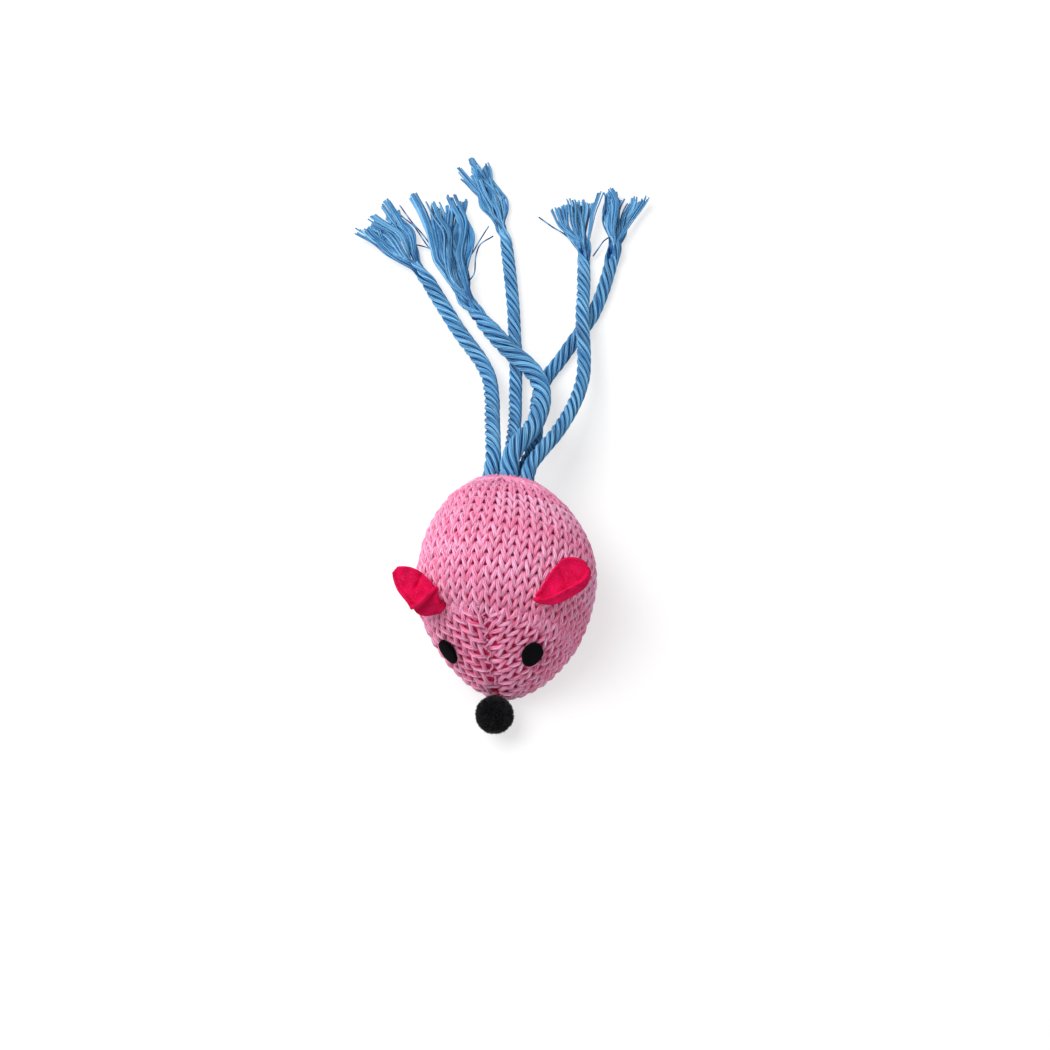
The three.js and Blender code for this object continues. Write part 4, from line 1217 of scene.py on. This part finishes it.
def makeEye(side, s):
    own = s[side]
    middle, centre, skew = own["station"], math.radians(own["angle"]), math.radians(own["turned"])
    step = s["scaleStep"]
    here = bodyPoint(middle, centre, 0)
    alongScale = (bodyPoint(middle + step, centre, 0) - here).length / step
    aroundScale = (bodyPoint(middle, centre + step, 0) - here).length / step

    def spot(size, turned, height):
        x, y = math.cos(turned), math.sin(turned)
        around = Vector((x * s["raggedScale"], y * s["raggedScale"], centre * s["raggedApart"]))
        ragged = 1 + s["ragged"] * noise.noise(around)
        long = size * ragged * own["length"] * x / 2
        wide = size * ragged * own["width"] * y / 2
        station = middle + (long * math.cos(skew) - wide * math.sin(skew)) / alongScale
        angle = centre + (long * math.sin(skew) + wide * math.cos(skew)) / aroundScale
        return bodyPoint(station, angle, 0) + surfaceNormal(station, angle) * height

    gap, thick, sides = s["gap"], s["thick"], s["sides"]
    profile = [(size, gap) for size in s["under"]]
    profile += [(size, gap + share * thick) for size, share in s["edge"]]
    profile += [(size, gap + thick + rise) for size, rise in s["crown"]]
    points = [spot(size, fullTurn * k / sides, height) * mm for size, height in profile for k in range(sides)]
    faces = ringFaces(len(profile), sides)
    last = (len(profile) - 1) * sides
    faces.append(tuple(range(sides - 1, -1, -1)))
    faces.append(tuple(range(last, last + sides)))
    attach(addPiece("felt_eye_" + side, points, faces, blackFelt), "mouse", "eye_" + side)


for side in ("left", "right"):
    makeEye(side, eyes)
print("eyes made")


# Pom-pom nose: a ball of cut pile

pompom = {
    "core": 4.95, "pressed": 0.8, "rings": 24, "sides": 48, "uneven": 0.05, "unevenScale": 3,
    "fibreSides": 4, "fibreTip": 0.00005, "fibreLength": (0.7, 1.1), "tiltSeeds": (1, 2), "lengthSeed": 3,
    "tree": {"Density": 14000000.0, "Pile": 0.0015, "Thickness": 0.0002, "Tilt": 0.6, "Seed": 6},
}


def makePileTree(s):
    tree, given = startTree("cutPile", s["tree"])
    dots = addNode(
        tree, "GeometryNodeDistributePointsOnFaces",
        {"Mesh": given["Geometry"], "Density": given["Density"], "Seed": given["Seed"]},
    ).outputs
    plugs = {
        "Vertices": s["fibreSides"], "Radius Top": s["fibreTip"], "Radius Bottom": given["Thickness"],
        "Depth": given["Pile"],
    }
    fibre = addNode(tree, "GeometryNodeMeshCone", plugs, fill_type="NONE").outputs["Mesh"]
    index = tree.nodes.new("GeometryNodeInputIndex").outputs[0]
    back = times(tree, given["Tilt"], -1.0)
    x, y = (randomFor(tree, back, given["Tilt"], index, seed) for seed in s["tiltSeeds"])
    lean = addNode(tree, "ShaderNodeCombineXYZ", {"X": x, "Y": y}).outputs[0]
    lean = addNode(tree, "FunctionNodeEulerToRotation", {"Euler": lean}).outputs[0]
    plugs = {"Rotation": dots["Rotation"], "Rotate By": lean}
    turned = addNode(tree, "FunctionNodeRotateRotation", plugs, rotation_space="LOCAL").outputs[0]
    length = randomFor(tree, *s["fibreLength"], index, s["lengthSeed"])
    size = addNode(tree, "ShaderNodeCombineXYZ", {"X": 1.0, "Y": 1.0, "Z": length}).outputs[0]
    plugs = {"Points": dots["Points"], "Instance": fibre, "Rotation": turned, "Scale": size}
    pile = addNode(tree, "GeometryNodeInstanceOnPoints", plugs).outputs[0]
    whole = addNode(tree, "GeometryNodeJoinGeometry")
    tree.links.new(given["Geometry"], whole.inputs[0])
    tree.links.new(pile, whole.inputs[0])
    endTree(tree, whole.outputs[0], given["Material"])
    return tree


def makeNose(s):
    low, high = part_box("nose_pompom")
    centre = Vector([(a + b) / 2 for a, b in zip(low, high)]) + Vector((0, s["pressed"] * mm, 0))
    core = bpy.data.meshes.new("noseCore")
    rings, sides = s["rings"], s["sides"]
    radius = s["core"] * mm
    points = [centre + Vector((0, 0, radius)), centre - Vector((0, 0, radius))]
    for i in range(1, rings):
        polar = math.pi * i / rings
        for k in range(sides):
            turned = fullTurn * k / sides
            flat = math.sin(polar)
            out = Vector((flat * math.cos(turned), flat * math.sin(turned), math.cos(polar)))
            swelling = 1 + s["uneven"] * noise.noise(out * s["unevenScale"])
            points.append(centre + out * s["core"] * mm * swelling)
    faces = []
    last = 2 + (rings - 2) * sides
    for k in range(sides):
        j = (k + 1) % sides
        faces.append((0, 2 + k, 2 + j))
        faces.append((1, last + j, last + k))
        for i in range(rings - 2):
            row = 2 + i * sides
            faces.append((row + k, row + sides + k, row + sides + j, row + j))
    core.from_pydata(points, [], faces)
    piece = grow("pompom_nose", makePileTree(s), core, blackPile, s["tree"])
    attach(piece, "mouse", "nose_pompom")


makeNose(pompom)


# Felt ears: a leaf pinched at its root, with its front edge folded up

ears = {  # at shares of the length: degrees of the fold, and millimetres to the rear, to the fold, past it
    "left": {
        "station": -0.503, "angle": 33, "side": -1, "foldAngle": [(0, 150), (0.34, 158), (0.38, 60), (1, 40)],
        "rear": [(0, 0.9), (0.16, 2.8), (0.38, 5.2), (0.66, 5.2), (0.85, 4.2), (1, 3.0)],
        "fold": [
            (0, 1.2), (0.1, 3.6), (0.24, 5.4), (0.32, 5.2), (0.42, 4.4), (0.7, 3.9), (0.9, 2.9), (1, 2.2),
        ],
        "flap": [
            (0, 1.5), (0.1, 5), (0.2, 9), (0.3, 12.4), (0.345, 12.8), (0.375, 2.2), (0.5, 1.3), (1, 0.6),
        ],
    },
    "right": {
        "station": -0.362, "angle": 36, "side": 1, "foldAngle": [(0, 150), (0.5, 132), (0.8, 125), (1, 90)],
        "rear": [(0, 0.9), (0.15, 2.3), (0.34, 4.1), (0.66, 6.4), (0.8, 6.4), (1, 5.6)],
        "fold": [(0, 1.0), (0.05, 1.7), (0.21, 3.7), (0.43, 4.7), (0.73, 4.9), (0.9, 4.6), (1, 4.2)],
        "flap": [(0, 1.0), (0.2, 2.0), (0.45, 2.9), (0.73, 3.0), (0.9, 2.2), (1, 1.2)],
    },
    "direction": (0.788, 0.48, 0.388), "facing": (-0.18, -0.43, 0.89),
    "lift": 0.8, "length": 20, "start": 0.5,
    "rootDip": 1.7, "rootEnd": 0.16,  # the root sinks into the knit, where it is sewn on
    "foldRadius": 1.0, "leastFlat": 0.1, "rearCurl": (55, 28), "tipBack": 1.6,
    "roundFrom": 0.72, "roundTo": 1.01, "corners": (-0.05, -0.025, 0, 0.025, 0.05),
    "crease": 0.55, "creaseDepth": 0.95, "creaseWidth": 0.045, "creaseSlant": 0.06, "creaseFade": (-0.4, 0.1),
    "thick": 1.1, "rows": 60, "columns": 52,
}


def valueAt(table, share):  # with the corners of the table rounded off
    values = []
    for near in ears["corners"]:
        place = min(max(share + near, 0), 1)
        (low, first), (high, second) = next(pair for pair in zip(table, table[1:]) if place <= pair[1][0])
        values.append(mix(first, second, (place - low) / (high - low)))
    return sum(values) / len(values)


def earPoint(s, own, share, across):
    direction = Vector(s["direction"]).normalized()
    facing = Vector(s["facing"])
    facing = (facing - direction * facing.dot(direction)).normalized()
    past = max(share - s["roundFrom"], 0) / (s["roundTo"] - s["roundFrom"])
    rounded = max(1 - past**2, 0) ** 0.5
    if across >= 0:
        curl = math.radians(mix(*s["rearCurl"], share))
        radius = valueAt(own["rear"], share) * rounded / curl
        sideways, height = radius * math.sin(curl * across), radius * (1 - math.cos(curl * across))
    else:
        turned = math.radians(valueAt(own["foldAngle"], share))
        bend = s["foldRadius"]
        flat = max(valueAt(own["fold"], share) * rounded - bend, s["leastFlat"])
        arc = -across * (flat + bend * turned + valueAt(own["flap"], share))
        angle = min(max(arc - flat, 0) / bend, turned)
        rest = max(arc - flat - bend * turned, 0)
        sideways = -(min(arc, flat) + bend * math.sin(angle) + rest * math.cos(turned))
        height = bend * (1 - math.cos(angle)) + rest * math.sin(turned)
    rootAngle = math.radians(own["angle"])
    lifted = s["lift"] - s["rootDip"] * (1 - smooth(0, s["rootEnd"], share))
    point = bodyPoint(own["station"], rootAngle, 0) + surfaceNormal(own["station"], rootAngle) * lifted
    fromCrease = (share - s["crease"] - s["creaseSlant"] * across) / s["creaseWidth"]
    folded = s["creaseDepth"] * math.exp(-(fromCrease**2))
    height -= s["tipBack"] * share**2 + folded * smooth(*s["creaseFade"], across)
    point += direction * (s["start"] + share * (s["length"] - s["start"]))
    point += facing.cross(direction) * sideways + facing * height
    point.x *= own["side"]
    return point


def makeEar(side, s):
    own, name = s[side], "ear_" + side
    rows, columns = s["rows"], s["columns"]
    points = [
        earPoint(s, own, i / rows, 2 * j / columns - 1) * mm
        for i in range(rows + 1)
        for j in range(columns + 1)
    ]
    faces = []
    for i in range(rows):
        for j in range(columns):
            a = i * (columns + 1) + j
            face = (a, a + columns + 1, a + columns + 2, a + 1)
            faces.append(face if own["side"] > 0 else face[::-1])
    piece = addPiece("felt_" + name, points, faces, pinkFelt)
    wall = piece.modifiers.new("felt", "SOLIDIFY")
    wall.thickness = s["thick"] * mm
    wall.offset = 0
    rounded = piece.modifiers.new("soft", "SUBSURF")
    rounded.levels = rounded.render_levels = 1
    attach(piece, name, name)


for side in ("left", "right"):
    makeEar(side, ears)
print("ears made")


# Light and floor

stageSet = {
    "floor": 3.0, "glow": 0.65, "catch": 0.38, "fadeFrom": 0.3, "fadeTo": 0.9, "bounce": 0.85,
    "worldLight": 0.4,
    "lamp": 8, "lampSize": 0.7, "lampAway": 0.9, "lampAim": (0, 0.04, 0.02),
    "lampFrom": (-0.6, 0.55, 0.9),  # as the picture has it: right, up and towards the camera
}


def grey(value):
    return (value, value, value, 1)


def whiteRay(tree):  # rays that meet the white background
    ray = tree.nodes.new("ShaderNodeLightPath").outputs
    seen = calc(tree, "MAXIMUM", ray["Is Camera Ray"], ray["Is Glossy Ray"])
    return calc(tree, "MAXIMUM", seen, ray["Is Transmission Ray"])


def twoShaders(tree, kind, first, second):
    node = addNode(tree, kind)
    for socket, value in zip(node.inputs[-2:], (first, second)):
        plug(tree, socket, value)
    return node


def makeFloor(s):
    half = s["floor"]
    corners = [(-half, -half, 0), (half, -half, 0), (half, half, 0), (-half, half, 0)]
    material = bpy.data.materials.new("paleFloor")
    material.use_nodes = True
    tree = material.node_tree
    tree.nodes.clear()
    distance = vec(tree, "LENGTH", objectPlace(tree))
    away = levels(tree, distance, s["fadeFrom"], s["fadeTo"])  # white further out
    catching = blendColour(tree, away, grey(s["catch"]), grey(0))
    shadow = addNode(tree, "ShaderNodeBsdfDiffuse", {"Color": catching}).outputs[0]
    strength = plus(tree, times(tree, away, 1 - s["glow"]), s["glow"])
    glow = addNode(tree, "ShaderNodeEmission", {"Strength": strength}).outputs[0]
    seen = twoShaders(tree, "ShaderNodeAddShader", shadow, glow).outputs[0]
    bounce = addNode(tree, "ShaderNodeBsdfDiffuse", {"Color": grey(s["bounce"])}).outputs[0]
    choose = twoShaders(tree, "ShaderNodeMixShader", bounce, seen)
    plug(tree, choose.inputs[0], whiteRay(tree))
    plug(tree, tree.nodes.new("ShaderNodeOutputMaterial").inputs[0], choose.outputs[0])
    addPiece("floor", corners, [(0, 1, 2, 3)], material)


def makeLight(s):
    world = bpy.data.worlds.new("studio")
    world.use_nodes = True
    scene.world = world
    tree = world.node_tree
    tree.nodes.clear()
    soft, white = (
        addNode(tree, "ShaderNodeBackground", {"Color": grey(1), "Strength": strength}).outputs[0]
        for strength in (s["worldLight"], 1.0)
    )
    choose = twoShaders(tree, "ShaderNodeMixShader", soft, white)
    plug(tree, choose.inputs[0], whiteRay(tree))
    plug(tree, tree.nodes.new("ShaderNodeOutputWorld").inputs[0], choose.outputs[0])
    across, up, back = s["lampFrom"]
    toward = (pictureUp * up + pictureRight * across + pictureBack * back).normalized()
    data = bpy.data.lights.new("softbox", "AREA")
    data.energy = s["lamp"]
    data.size = s["lampSize"]
    lamp = bpy.data.objects.new("softbox", data)
    lamp.location = Vector(s["lampAim"]) + toward * s["lampAway"]
    lamp.rotation_euler = toward.to_track_quat("Z", "Y").to_euler()
    scene.collection.objects.link(lamp)


makeFloor(stageSet)
makeLight(stageSet)
print("floor and light made")


# Finishes of the solids that stay inside

for node, material in insideFinishes.items():
    frameObject = bpy.data.objects[node]
    frameObject.data.materials.clear()
    frameObject.data.materials.append(material)
